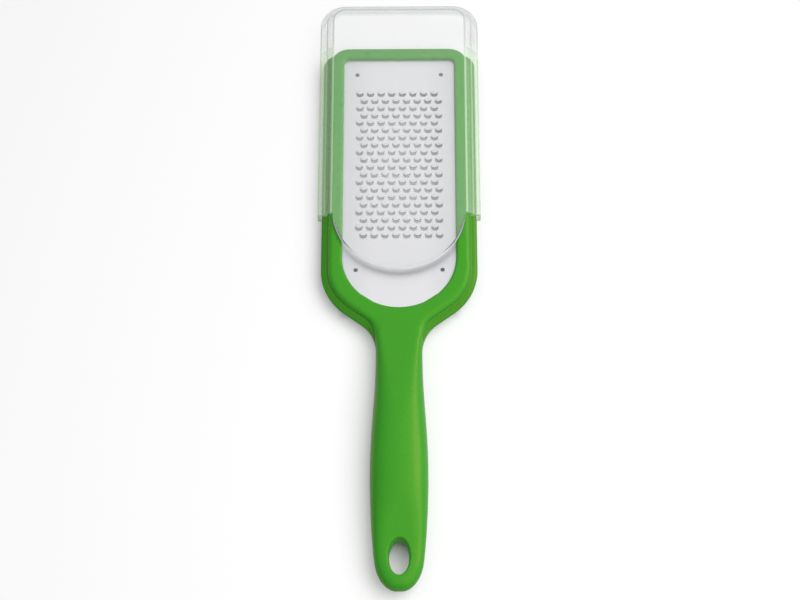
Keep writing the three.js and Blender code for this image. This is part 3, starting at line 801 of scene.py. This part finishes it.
def cover_mesh(cover):
    mouth = cover.mouth
    lines = cover_section(cover)
    paths = np.array([lift(cover_path(*plan, mouth), height) for *plan, height in lines])
    along = (paths[0, 1:, 1] + paths[0, :-1, 1]) / 2
    at_end = smooth(along, *END_FADE)
    lit = np.zeros((len(lines) - 1, len(along)))
    rail_start = CORNER_STEPS * 3 + 1
    lit[CORNER_STEPS:rail_start] = mix(*BEVEL_MARKS, at_end)
    lit[rail_start:CORNER_STEPS * 5] = mix(*RAIL_MARKS, at_end)
    for corner in LIT_CORNERS:
        first = 1 + (corner - 1) * CORNER_STEPS
        lit[first:first + CORNER_STEPS - 1] = mix(cover.edge_light, END_MARK, at_end)
    shape = Shape()
    shape.grid(paths, mark=lit)

    angles = np.linspace(0.0, math.pi, TONGUE_POINTS)
    from_ends = np.minimum(angles, math.pi - angles)
    edge = cover.tongue_edge
    levels = [(cover.tongue_rim * part, 0.0, RIM_MARK * (1.0 - part)) for part in RIM_PARTS]
    levels.append((edge * 2, 0.0, RIM_MARK))
    for turn in EDGE_ANGLES:
        light = LIP_MARK if turn < QUARTER else 0.0
        levels.append((edge * (1.0 - math.sin(turn)), edge * (1.0 - math.cos(turn)), light))
    levels += [(inset, cover.wall - drop, min(light, RIM_MARK)) for inset, drop, light in levels[::-1]]
    loops = []
    for inset, drop, light in levels:
        inset = inset * smooth(from_ends, 0.0, WIDE_FADE if light < RIM_MARK else NARROW_FADE)
        x = (cover.tongue_half - inset) * np.cos(angles)
        y = mouth - (mouth - COVER_LOW.y - inset) * np.sin(angles)
        loops.append(lift(np.column_stack((x, y)), COVER_HIGH.z - drop))
    lights = [light for _, _, light in levels]
    strips = np.minimum(lights[1:], lights[:-1])
    shape.grid(np.array(loops), mark=strips[:, None])

    shape.face(np.vstack((paths[0], loops[0][1:-1])))
    shape.face(np.vstack((paths[-1], loops[-1][1:-1])))
    start = np.array([loop[0] for loop in loops])
    finish = np.array([loop[-1] for loop in loops])
    shape.face(np.vstack((paths[:, -1], start[-2:0:-1])), mark=CUT_MARK)
    shape.face(np.vstack((paths[:, 0], finish[-2:0:-1])), mark=CUT_MARK)
    return shape.mesh("clear_cover", COVER_CREASE)


# Node trees
NOISE_RANGE = (0.3, 0.7)
WHITE = (1.0, 1.0, 1.0, 1.0)


class Nodes:
    """A node tree and short ways to fill it."""

    def __init__(self, tree):
        self.tree = tree
        self.nodes = tree.nodes

    def fill(self, socket, value):
        """Link another node's output to a socket, or set the socket's own value."""
        if isinstance(value, bpy.types.NodeSocket):
            self.tree.links.new(value, socket)
        else:
            socket.default_value = value

    def add(self, kind, inputs=(), **settings):
        """A node with its settings, and with inputs filled by their names."""
        node = self.nodes.new(kind)
        for key, value in settings.items():
            setattr(node, key, value)
        for name, value in dict(inputs).items():
            self.fill(node.inputs[name], value)
        return node

    def joined(self, kind, *values, **settings):
        """First output of a node with its inputs filled in order."""
        node = self.add(kind, **settings)
        for socket, value in zip(node.inputs, values):
            self.fill(socket, value)
        return node.outputs[0]

    def maths(self, operation, *values):
        return self.joined("ShaderNodeMath", *values, operation=operation)

    def parts(self, vector):
        """X, Y and Z of a vector."""
        return self.add("ShaderNodeSeparateXYZ", {"Vector": vector}).outputs

    def size_of(self, value, shift=0.0):
        """Distance of a value from a place."""
        return self.maths("ABSOLUTE", self.maths("ADD", value, shift))

    def between(self, value, span, low=0.0, high=1.0, kind="LINEAR"):
        """Number that goes from low to high while a value goes through a span."""
        names = ("Value", "From Min", "From Max", "To Min", "To Max")
        inputs = zip(names, (value, *span, low, high))
        return self.add("ShaderNodeMapRange", inputs, interpolation_type=kind).outputs["Result"]

    def pick(self, factor, first, second):
        return self.joined("ShaderNodeMixShader", factor, first, second)

    def seen_rays(self):
        """1 for rays that show the stage to the camera, straight or by gloss or through clear plastic."""
        rays = self.add("ShaderNodeLightPath").outputs
        either = self.maths("MAXIMUM", rays["Is Camera Ray"], rays["Is Glossy Ray"])
        return self.maths("MAXIMUM", either, rays["Is Transmission Ray"])


class Finish(Nodes):
    """A new material and short ways to fill its shader."""

    def __init__(self, name):
        self.material = bpy.data.materials.new(name)
        self.material.use_nodes = True
        super().__init__(self.material.node_tree)
        self.shader = self.nodes["Principled BSDF"]
        self.coordinates = self.add("ShaderNodeTexCoord").outputs["Object"]

    def give(self, name, value):
        self.fill(self.shader.inputs[name], value)

    def surface(self, shader):
        self.fill(self.nodes["Material Output"].inputs["Surface"], shader)

    def stretched(self, scale):
        return self.add("ShaderNodeMapping", {"Vector": self.coordinates, "Scale": scale}).outputs["Vector"]

    def noise(self, scale, detail, where=None):
        inputs = {"Scale": scale, "Detail": detail, "Vector": where or self.coordinates}
        return self.add("ShaderNodeTexNoise", inputs).outputs["Fac"]

    def varied(self, noise, low, high):
        return self.between(noise, NOISE_RANGE, low, high)

    def blend(self, factor, first, second):
        node = self.add("ShaderNodeMix", {"Factor": factor}, data_type="RGBA")
        colours = [socket for socket in node.inputs if socket.type == "RGBA"]
        for socket, value in zip(colours, (first, second)):
            self.fill(socket, value if isinstance(value, bpy.types.NodeSocket) else (*value, 1.0))
        return next(socket for socket in node.outputs if socket.type == "RGBA")

    def bump(self, height, strength, distance):
        inputs = {"Strength": strength, "Distance": distance, "Height": height}
        self.give("Normal", self.add("ShaderNodeBump", inputs).outputs["Normal"])


# Toothed plate
SHEET_STEP = 1.0 * MM
SHEET_CREASE = 30.0
PLATE_CREASE = 32.0
INSIDE_LOOPS = 1
SAME_POINT = 1e-9
HOLE_POINTS = 25
HOLE_SHARE = 0.98
TOOTH_POINTS = 9
# Powers that shape a tooth's opening, lip and height, and the size of the flat ring round the opening
OPENING_POWER = 0.4
LIP_POWER = 2.0
CROWN_POWER = 0.9
FLAT_RING = 1.1
# How far forward and how high each step of the scoop is, as shares of its lip
SCOOP_STEPS = ((0.0, 0.0), (0.3, 0.28), (0.62, 0.68), (1.0, 1.0))


def rectangle(wide, long, middle=0.0):
    """Points round a rectangle, a sheet step apart."""
    across = np.arange(-wide, wide - SHEET_STEP / 2, SHEET_STEP)
    along = np.arange(-long, long - SHEET_STEP / 2, SHEET_STEP)
    points = [(x, middle - long) for x in across] + [(wide, middle + y) for y in along]
    return points + [(-x, middle + long) for x in across] + [(-wide, middle - y) for y in along]


def filled(loops, last_open=False):
    """Flat faces among closed loops of plan points, and none inside the last loop if that is open."""
    points = [Vector(point) for loop in loops for point in loop]
    edges = []
    for loop in loops:
        start = len(edges)
        edges.extend((start + i, start + (i + 1) % len(loop)) for i in range(len(loop)))
    opening = [list(range(start, len(points)))] if last_open else []
    flat, _, faces, _, _, owners = delaunay_2d_cdt(points, edges, opening, INSIDE_LOOPS, SAME_POINT)
    return [[flat[i] for i in face] for face, owner in zip(faces, owners) if not owner]


def tooth_tile(plate):
    """One tooth with the flat sheet round it, as wide as the pitch and as long as the row pitch."""
    side = plate.tooth_sides
    angles = np.linspace(0.0, math.pi, TOOTH_POINTS)
    sine = np.sin(angles)
    x = plate.tooth_width / 2 * np.cos(angles)
    scoop = np.column_stack((x, side + (plate.tooth_back - side) * sine))
    front = np.column_stack((x, side - (plate.tooth_front + side) * sine ** OPENING_POWER))
    ring = np.vstack((scoop, front[-2:0:-1]))
    flat_ring = [(x * FLAT_RING, side + (y - side) * FLAT_RING) for x, y in ring]
    border = rectangle(plate.pitch / 2, plate.row_pitch / 2)
    shape = Shape()
    for face in filled([border, flat_ring, ring], last_open=True):
        shape.face([(*point, 0.0) for point in face])

    base = lift(scoop, 0.0)
    forward = side - (plate.tooth_lip + side) * sine ** LIP_POWER
    lip = np.column_stack((x, forward, plate.tooth_height * sine ** CROWN_POWER))
    steps = []
    for onward, height in SCOOP_STEPS:
        step = mix(base, lip, onward)
        step[:, 2] = lip[:, 2] * height
        steps.append(step)
    shape.grid(np.array(steps))
    return shape


def sheet_round_teeth(plan, plate):
    """Flat sheet between the toothed field and the plate's outline, with the locating holes."""
    wide = plate.pitch * plate.row_teeth / 2 + plate.stagger / 2
    long = plate.row_pitch * plate.rows / 2
    middle = plate.field_middle
    half = plan.window_half + plate.rim
    corner = plan.window_corner + plate.rim
    top = plan.window_top + plate.rim
    outline = np.vstack((
        arc((half - corner, top - corner), corner, 0.0, QUARTER, 12),
        arc((corner - half, top - corner), corner, QUARTER, math.pi, 12),
        arc((0.0, plan.window_round), half, math.pi, math.pi * 2, 64)[:-1],
    ))
    radius = plate.hole / 2
    centres = [(s * plate.hole_span / 2, y) for y in (plate.hole_upper, plate.hole_lower) for s in (-1, 1)]
    holes = [arc(centre, radius, 0.0, math.pi * 2, HOLE_POINTS)[:-1] for centre in centres]
    shape = Shape()
    for face in filled([outline, rectangle(wide, long, middle), *holes]):
        spot = sum(face, Vector((0.0, 0.0))) / len(face)
        in_field = abs(spot.x) < wide and abs(spot.y - middle) < long
        in_hole = any((spot - Vector(centre)).length < radius * HOLE_SHARE for centre in centres)
        if not in_field and not in_hole:
            shape.face([(*point, PLATE_LOW.z + plate.sheet) for point in face])
    return shape


def field_filler(plate):
    """Flat strip that fills a row's end."""
    xs = np.arange(-plate.stagger / 2, plate.stagger / 2 + SHEET_STEP / 2, SHEET_STEP)
    ys = np.arange(-plate.row_pitch / 2, plate.row_pitch / 2 + SHEET_STEP / 2, SHEET_STEP)
    shape = Shape()
    shape.grid(lift(np.dstack(np.meshgrid(xs, ys)), 0.0))
    return shape


def teeth_tree(material):
    """Node tree that lays the tooth tile out in staggered rows and joins it to the sheet round it."""
    group = bpy.data.node_groups.new("staggered_teeth", "GeometryNodeTree")
    kinds = {
        "Sheet": "NodeSocketGeometry",
        "Tooth": "NodeSocketObject",
        "Filler": "NodeSocketObject",
        "Rows": "NodeSocketInt",
        "Teeth": "NodeSocketInt",
        "Pitch": "NodeSocketFloat",
        "Row pitch": "NodeSocketFloat",
        "Stagger": "NodeSocketFloat",
        "Middle": "NodeSocketFloat",
        "Height": "NodeSocketFloat",
    }
    for name, kind in kinds.items():
        group.interface.new_socket(name, in_out="INPUT", socket_type=kind)
    group.interface.new_socket("Plate", in_out="OUTPUT", socket_type="NodeSocketGeometry")
    tree = Nodes(group)
    given = tree.add("NodeGroupInput").outputs
    last_row = tree.maths("SUBTRACT", given["Rows"], 1)
    last_tooth = tree.maths("SUBTRACT", given["Teeth"], 1)

    def laid_out(columns, size, sign, shift, piece):
        points = tree.add("GeometryNodeMeshGrid", {
            "Size X": size,
            "Size Y": tree.maths("MULTIPLY", given["Row pitch"], last_row),
            "Vertices X": columns,
            "Vertices Y": given["Rows"],
        })
        along = tree.parts(tree.add("GeometryNodeInputPosition").outputs[0])["Y"]
        from_middle = tree.maths("DIVIDE", along, given["Row pitch"])
        from_top = tree.maths("SUBTRACT", tree.maths("DIVIDE", last_row, 2), from_middle)
        odd = tree.maths("MODULO", tree.maths("ROUND", from_top), 2)
        way = tree.maths("MULTIPLY", tree.maths("SUBTRACT", tree.maths("MULTIPLY", odd, 2), 1), sign)
        offset = tree.add("ShaderNodeCombineXYZ", {
            "X": tree.maths("MULTIPLY", way, shift),
            "Y": given["Middle"],
            "Z": given["Height"],
        })
        moved = tree.add("GeometryNodeSetPosition", {
            "Geometry": points.outputs["Mesh"],
            "Offset": offset.outputs[0],
        })
        source = tree.add("GeometryNodeObjectInfo", {"Object": piece})
        spread = tree.add("GeometryNodeInstanceOnPoints", {
            "Points": moved.outputs["Geometry"],
            "Instance": source.outputs["Geometry"],
        })
        return spread.outputs["Instances"]

    run = tree.maths("MULTIPLY", given["Pitch"], last_tooth)
    half_shift = tree.maths("DIVIDE", given["Stagger"], 2)
    half_row = tree.maths("DIVIDE", tree.maths("MULTIPLY", given["Pitch"], given["Teeth"]), 2)
    teeth = laid_out(given["Teeth"], run, 1, half_shift, given["Tooth"])
    fillers = laid_out(1, half_shift, -1, half_row, given["Filler"])
    whole = tree.add("GeometryNodeJoinGeometry")
    for part in (given["Sheet"], teeth, fillers):
        tree.fill(whole.inputs[0], part)
    real = tree.add("GeometryNodeRealizeInstances", {"Geometry": whole.outputs[0]})
    weld = tree.add("GeometryNodeMergeByDistance", {"Geometry": real.outputs[0], "Distance": SLIVER})
    finish = tree.add("GeometryNodeSetMaterial", {"Geometry": weld.outputs[0], "Material": material})
    tree.add("NodeGroupOutput", {"Plate": finish.outputs[0]})
    return group


def plate_object(body, plate, material):
    def flat_piece(name, shape):
        return place(name, shape.mesh(name, SHEET_CREASE, False))

    sheet = flat_piece("toothed_plate", sheet_round_teeth(Plan(body, plate), plate))
    tooth = flat_piece("tooth_tile", tooth_tile(plate))
    filler = flat_piece("field_filler", field_filler(plate))
    tree = teeth_tree(material)
    teeth = sheet.modifiers.new("Teeth", "NODES")
    teeth.node_group = tree
    values = {
        "Tooth": tooth,
        "Filler": filler,
        "Rows": plate.rows,
        "Teeth": plate.row_teeth,
        "Pitch": plate.pitch,
        "Row pitch": plate.row_pitch,
        "Stagger": plate.stagger,
        "Middle": plate.field_middle,
        "Height": PLATE_LOW.z + plate.sheet,
    }
    for item in tree.interface.items_tree:
        if item.in_out == "INPUT" and item.name in values:
            teeth[item.identifier] = values[item.name]
    thick = sheet.modifiers.new("Thickness", "SOLIDIFY")
    thick.thickness = plate.sheet
    thick.offset = -1.0
    thick.use_even_offset = True
    bpy.context.view_layer.update()
    graph = bpy.context.evaluated_depsgraph_get()
    mesh = bpy.data.meshes.new_from_object(sheet.evaluated_get(graph))
    sheet.modifiers.clear()
    sheet.data = mesh
    mesh.name = "toothed_plate"
    mesh.shade_smooth()
    mesh.set_sharp_from_angle(angle=math.radians(PLATE_CREASE))
    for helper in (tooth, filler):
        bpy.data.objects.remove(helper)
    return sheet


# Materials
# Heights where the green's painted shade fades, widths where painted shade darkens the plate, and its grain
BAND_FOOT_SHADE = (7.6 * MM, 9.2 * MM)
PLATE_SHADE_SIDES = (12.0 * MM, 26.0 * MM)
GRAIN_STRETCH = (1.0, 0.05, 1.0)
GRAIN_SHADE = 0.98
# Sizes of the cover's marks that bring in the painted tint, take away clearness and end the rim's shadow
TINTED = (0.0, 0.6)
MILKY = (0.5, 1.0)
PAST_RIM = (0.45, 0.6)


def green_plastic(finishes):
    tree = Finish("green_plastic")
    # Painted shade: darker green below the band's foot, paling to the full colour above it
    raised = tree.between(tree.parts(tree.coordinates)["Z"], BAND_FOOT_SHADE)
    face = tree.blend(tree.noise(scale=40.0, detail=3.0), finishes.green_deep, finishes.green)
    tree.give("Base Color", tree.blend(raised, finishes.green_foot_shade, face))
    tree.give("Roughness", tree.varied(tree.noise(scale=220.0, detail=4.0), low=0.26, high=0.32))
    tree.give("Specular IOR Level", 0.62)
    tree.give("Specular Tint", (*finishes.green_gloss, 1.0))
    tree.bump(tree.noise(scale=2600.0, detail=2.0), strength=0.05, distance=0.1 * MM)
    return tree.material


def plate_steel(finishes):
    tree = Finish("plate_steel")
    tree.give("Metallic", 1.0)
    grain = tree.noise(scale=2500.0, detail=3.0, where=tree.stretched(GRAIN_STRETCH))
    dark = tuple(value * GRAIN_SHADE for value in finishes.steel)
    # Painted shade: darker steel towards the plate's sides, by the band
    shaded_sides = tree.between(tree.size_of(tree.parts(tree.coordinates)["X"]), PLATE_SHADE_SIDES)
    sheet = tree.blend(grain, dark, finishes.steel)
    tree.give("Base Color", tree.blend(shaded_sides, sheet, finishes.steel_shaded_side))
    tree.give("Roughness", tree.varied(grain, low=0.46, high=0.50))
    tree.bump(grain, strength=0.006, distance=0.02 * MM)
    return tree.material


def clear_plastic(finishes):
    tree = Finish("clear_plastic")
    tree.give("IOR", 1.02)
    tree.give("Coat Weight", 0.8)
    tree.give("Coat Roughness", 0.1)
    mark = tree.add("ShaderNodeAttribute", attribute_name="edge_light").outputs["Fac"]
    strength = tree.size_of(mark)
    along = tree.parts(tree.coordinates)["Y"]
    at_end = tree.between(along, END_FADE)
    # Painted reflection: the marked faces along the side channels are drawn green
    rail = tree.blend(tree.between(along, RAIL_REFLECTION_FADE), finishes.clear, finishes.clear_rail_reflection)
    # Painted shade on the marked faces at the closed end
    edge = tree.blend(at_end, rail, finishes.clear_edge_shade)
    # Painted shade: the panel turns greyer towards the closed end
    panel = tree.blend(at_end, finishes.clear, finishes.clear_end_shade)
    tree.give("Base Color", tree.blend(tree.between(strength, TINTED), panel, edge))
    tree.give("Transmission Weight", tree.between(strength, MILKY, low=0.945, high=0.3))
    tree.give("Roughness", tree.varied(tree.noise(scale=90.0, detail=3.0), low=0.06, high=0.10))
    tree.bump(tree.noise(scale=60.0, detail=2.0), strength=0.02, distance=0.1 * MM)
    up_to_rim = tree.between(mark, (0.0, RIM_MARK))
    rim = tree.maths("MULTIPLY", up_to_rim, tree.between(mark, PAST_RIM, low=1.0, high=0.0))
    shade = tree.blend(rim, finishes.clear_shade, finishes.rim_shade)
    through = tree.add("ShaderNodeBsdfTransparent", {"Color": shade}).outputs["BSDF"]
    rays = tree.add("ShaderNodeLightPath").outputs
    mirrored_ray = tree.maths("SUBTRACT", rays["Is Glossy Ray"], rays["Is Transmission Ray"])
    unseen = tree.maths("MAXIMUM", rays["Is Shadow Ray"], rays["Is Diffuse Ray"])
    unseen = tree.maths("MAXIMUM", unseen, mirrored_ray)
    tree.surface(tree.pick(unseen, tree.shader.outputs["BSDF"], through))
    return tree.material


def dress(piece, material, body, node):
    piece.data.materials.clear()
    piece.data.materials.append(material)
    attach(piece, body)
    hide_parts(node)


# Operators
class GRATER_OT_mouldings(bpy.types.Operator):
    """Build the two green mouldings of the body"""

    bl_idname = "grater.mouldings"
    bl_label = "Green Mouldings"

    def execute(self, context):
        scene = context.scene
        material = green_plastic(scene.grater_finishes)
        front = place("front_moulding", front_mesh(scene.grater_body, scene.grater_plate))
        back = place("back_moulding", back_mesh(scene.grater_body, scene.grater_plate))
        dress(front, material, "body", "front_shell")
        dress(back, material, "body", "back_shell")
        return {"FINISHED"}


class GRATER_OT_plate(bpy.types.Operator):
    """Build the steel plate with its teeth"""

    bl_idname = "grater.plate"
    bl_label = "Toothed Plate"

    def execute(self, context):
        scene = context.scene
        material = plate_steel(scene.grater_finishes)
        plate = plate_object(scene.grater_body, scene.grater_plate, material)
        dress(plate, material, "body", "grating_plate")
        return {"FINISHED"}


class GRATER_OT_cover(bpy.types.Operator):
    """Build the clear cover that slides on the head"""

    bl_idname = "grater.cover"
    bl_label = "Clear Cover"

    def execute(self, context):
        scene = context.scene
        cover = place("clear_cover", cover_mesh(scene.grater_cover))
        dress(cover, clear_plastic(scene.grater_finishes), "cover", "slide_cover")
        return {"FINISHED"}


# Studio: shares of the even light low down and overhead, the palest tone beside the card, and spans of a
# direction's x, y or z
SKY_LOW = 0.1
SKY_HIGH = 1.45
STUDIO_RISE = (0.0, 0.85)
STUDIO_PALEST = 0.92
WHITE_HORIZON = (0.0, 0.12)
CARD_LEFT = (0.42, 0.64)
CARD_RIGHT = (0.8, 0.97)
CARD_RIGHT_SHARE = 0.2
CARD_NEAR = (0.05, 0.4)
CARD_FAR = (0.52, 0.7)
CARD_LOW = (0.3, 0.5)

# Floor: its greys and glows, and the patches of painted shade below the window and the hang hole, each with
# its middle, the fade at its sides and the fade at its ends
FLOOR_GREY = (0.3, 0.3, 0.3, 1.0)
FLOOR_PALE = (0.85, 0.85, 0.85, 1.0)
FLOOR_GLOW = 0.26
WINDOW_SHADE_GLOW = 0.08
WINDOW_SHADE_PATCH = (52.5 * MM, (24.0 * MM, 28.0 * MM), (64.0 * MM, 68.0 * MM))
HOLE_SHADE_PATCH = (-130.0 * MM, (4.5 * MM, 6.5 * MM), (12.0 * MM, 14.0 * MM))
# Painted shade below the hang hole runs from dark on the head's side to none towards the handle's end
HOLE_SHADE_RAMP = (-139.0 * MM, -123.0 * MM)
FLOOR_FADE = (0.4, 1.2)
FLOOR_DROP = 0.05 * MM

LAMP_PLACE = (0.56, -0.1, 0.92)
LAMP_SIZE = (1.5, 1.1)
SENSOR_WIDTH = 36.0
CAMERA_AXES = (
    (1.0, 0.0001, -0.0088),
    (0.0040, 0.8914, 0.4531),
    (0.0079, -0.4531, 0.8914),
)


def studio_sky(stage):
    """Even light all round. Gloss and clear plastic show a studio that is paler overhead and on the right."""
    world = bpy.data.worlds.new("studio")
    world.use_nodes = True
    tree = Nodes(world.node_tree)
    x, y, z = tree.parts(tree.add("ShaderNodeTexCoord").outputs["Generated"])
    even = tree.nodes["Background"]
    tree.fill(even.inputs["Color"], WHITE)
    strength = tree.between(z, (0.0, 1.0), stage.sky * SKY_LOW, stage.sky * SKY_HIGH)
    tree.fill(even.inputs["Strength"], strength)

    pale = tree.between(z, STUDIO_RISE, stage.horizon, stage.zenith)
    for part, more in ((x, stage.lean), (y, stage.ahead)):
        pale = tree.maths("MULTIPLY", pale, tree.between(part, (-1.0, 1.0), 1.0 - more, 1.0 + more))
    pale = tree.between(pale, (0.0, STUDIO_PALEST), 0.0, STUDIO_PALEST)
    card = tree.between(x, CARD_LEFT, 0.0, stage.card, "SMOOTHSTEP")
    for part, span, low, high in (
        (x, CARD_RIGHT, 1.0, CARD_RIGHT_SHARE),
        (y, CARD_NEAR, 0.0, 1.0),
        (y, CARD_FAR, 1.0, 0.0),
        (z, CARD_LOW, 0.0, 1.0),
    ):
        card = tree.maths("MULTIPLY", card, tree.between(part, span, low, high, "SMOOTHSTEP"))
    pale = tree.maths("ADD", pale, card)
    pale = tree.maths("MULTIPLY", pale, tree.between(z, WHITE_HORIZON, 0.0, 1.0, "SMOOTHSTEP"))
    pale = tree.maths("ADD", pale, tree.between(z, WHITE_HORIZON, 1.0, 0.0, "SMOOTHSTEP"))
    shown = tree.add("ShaderNodeBackground", {"Color": WHITE, "Strength": pale})
    picked = tree.pick(tree.seen_rays(), even.outputs[0], shown.outputs[0])
    tree.fill(tree.nodes["World Output"].inputs["Surface"], picked)
    return world


def floor_material():
    """Grey where it lights the object. Camera, gloss and clear plastic see it pale, and white further out."""
    tree = Finish("pale_floor")
    x, y, _ = tree.parts(tree.coordinates)

    def off_shade_patch(middle, sides, ends):
        """0 on a patch of painted shade on the floor to 1 off it."""
        beside = tree.between(tree.size_of(x), sides)
        return tree.maths("MAXIMUM", beside, tree.between(tree.size_of(y, -middle), ends))

    # Painted shade: the floor glows less below the window and the hang hole, so the openings look shaded
    window_painted_shade = tree.between(off_shade_patch(*WINDOW_SHADE_PATCH), (0.0, 1.0), WINDOW_SHADE_GLOW, FLOOR_GLOW)
    off_hole_shade = tree.between(off_shade_patch(*HOLE_SHADE_PATCH), (0.0, 1.0), 0.0, FLOOR_GLOW)
    hole_painted_shade = tree.maths("MAXIMUM", off_hole_shade, tree.between(y, HOLE_SHADE_RAMP, FLOOR_GLOW, 0.0))
    glow_and_painted_shade = tree.maths("MINIMUM", window_painted_shade, hole_painted_shade)
    plain = tree.add("ShaderNodeBsdfDiffuse", {"Color": FLOOR_GREY}).outputs[0]
    pale = tree.add("ShaderNodeBsdfDiffuse", {"Color": FLOOR_PALE}).outputs[0]
    shine = tree.add("ShaderNodeEmission", {"Strength": glow_and_painted_shade}).outputs[0]
    near = tree.joined("ShaderNodeAddShader", pale, shine)
    distance = tree.add("ShaderNodeVectorMath", {"Vector": tree.coordinates}, operation="LENGTH")
    further = tree.between(distance.outputs["Value"], FLOOR_FADE)
    shown = tree.pick(further, near, tree.add("ShaderNodeEmission").outputs[0])
    tree.surface(tree.pick(tree.seen_rays(), plain, shown))
    tree.nodes.remove(tree.shader)
    return tree.material


def side_lamp(power):
    """Large soft lamp on the right, turned to the middle of the object."""
    lamp = bpy.data.lights.new("side", "AREA")
    lamp.shape = "RECTANGLE"
    lamp.size, lamp.size_y = LAMP_SIZE
    lamp.energy = power
    holder = place("side", lamp)
    holder.visible_glossy = False
    turn = Vector(LAMP_PLACE).to_track_quat("Z", "Y").to_matrix().to_4x4()
    holder.matrix_world = Matrix.Translation(LAMP_PLACE) @ turn


class GRATER_OT_stage(bpy.types.Operator):
    """Set up the floor, the lamp, the studio and the camera"""

    bl_idname = "grater.stage"
    bl_label = "Stage"

    def execute(self, context):
        scene = context.scene
        stage = scene.grater_stage
        half = stage.floor_size / 2
        shape = Shape()
        shape.face([(-half, -half, 0.0), (half, -half, 0.0), (half, half, 0.0), (-half, half, 0.0)])
        floor = place("floor", shape.mesh("floor", SHEET_CREASE, False))
        floor.location.z = -FLOOR_DROP
        floor.data.materials.append(floor_material())

        side_lamp(stage.side_power)
        scene.world = studio_sky(stage)

        lens = bpy.data.cameras.new("camera")
        lens.lens = stage.camera_lens
        lens.sensor_width = SENSOR_WIDTH
        lens.dof.use_dof = False
        camera = place("camera", lens)
        turn = Matrix(CAMERA_AXES).transposed().to_4x4()
        camera.matrix_world = Matrix.Translation(stage.camera_place) @ turn
        scene.camera = camera
        scene.view_settings.view_transform = "Standard"
        return {"FINISHED"}


class GRATER_PT_panel(bpy.types.Panel):
    """Buttons that build the grater"""

    bl_idname = "GRATER_PT_panel"
    bl_label = "Fine Grater"
    bl_space_type = "VIEW_3D"
    bl_region_type = "UI"
    bl_category = "Grater"

    def draw(self, context):
        for operator in OPERATORS:
            self.layout.operator(operator.bl_idname)


OPERATORS = (GRATER_OT_mouldings, GRATER_OT_plate, GRATER_OT_cover, GRATER_OT_stage)
GROUPS = {
    "grater_body": BodySizes,
    "grater_plate": PlateSizes,
    "grater_cover": CoverSizes,
    "grater_finishes": Finishes,
    "grater_stage": StageSettings,
}


def register():
    for name, group in GROUPS.items():
        bpy.utils.register_class(group)
        setattr(bpy.types.Scene, name, bpy.props.PointerProperty(type=group))
    for kind in (*OPERATORS, GRATER_PT_panel):
        bpy.utils.register_class(kind)


def unregister():
    for kind in (GRATER_PT_panel, *reversed(OPERATORS)):
        bpy.utils.unregister_class(kind)
    for name, group in reversed(GROUPS.items()):
        delattr(bpy.types.Scene, name)
        bpy.utils.unregister_class(group)


def main():
    register()
    bpy.ops.grater.mouldings()
    bpy.ops.grater.plate()
    bpy.ops.grater.cover()
    bpy.ops.grater.stage()
    bpy.context.view_layer.update()


if __name__ == "__main__":
    main()
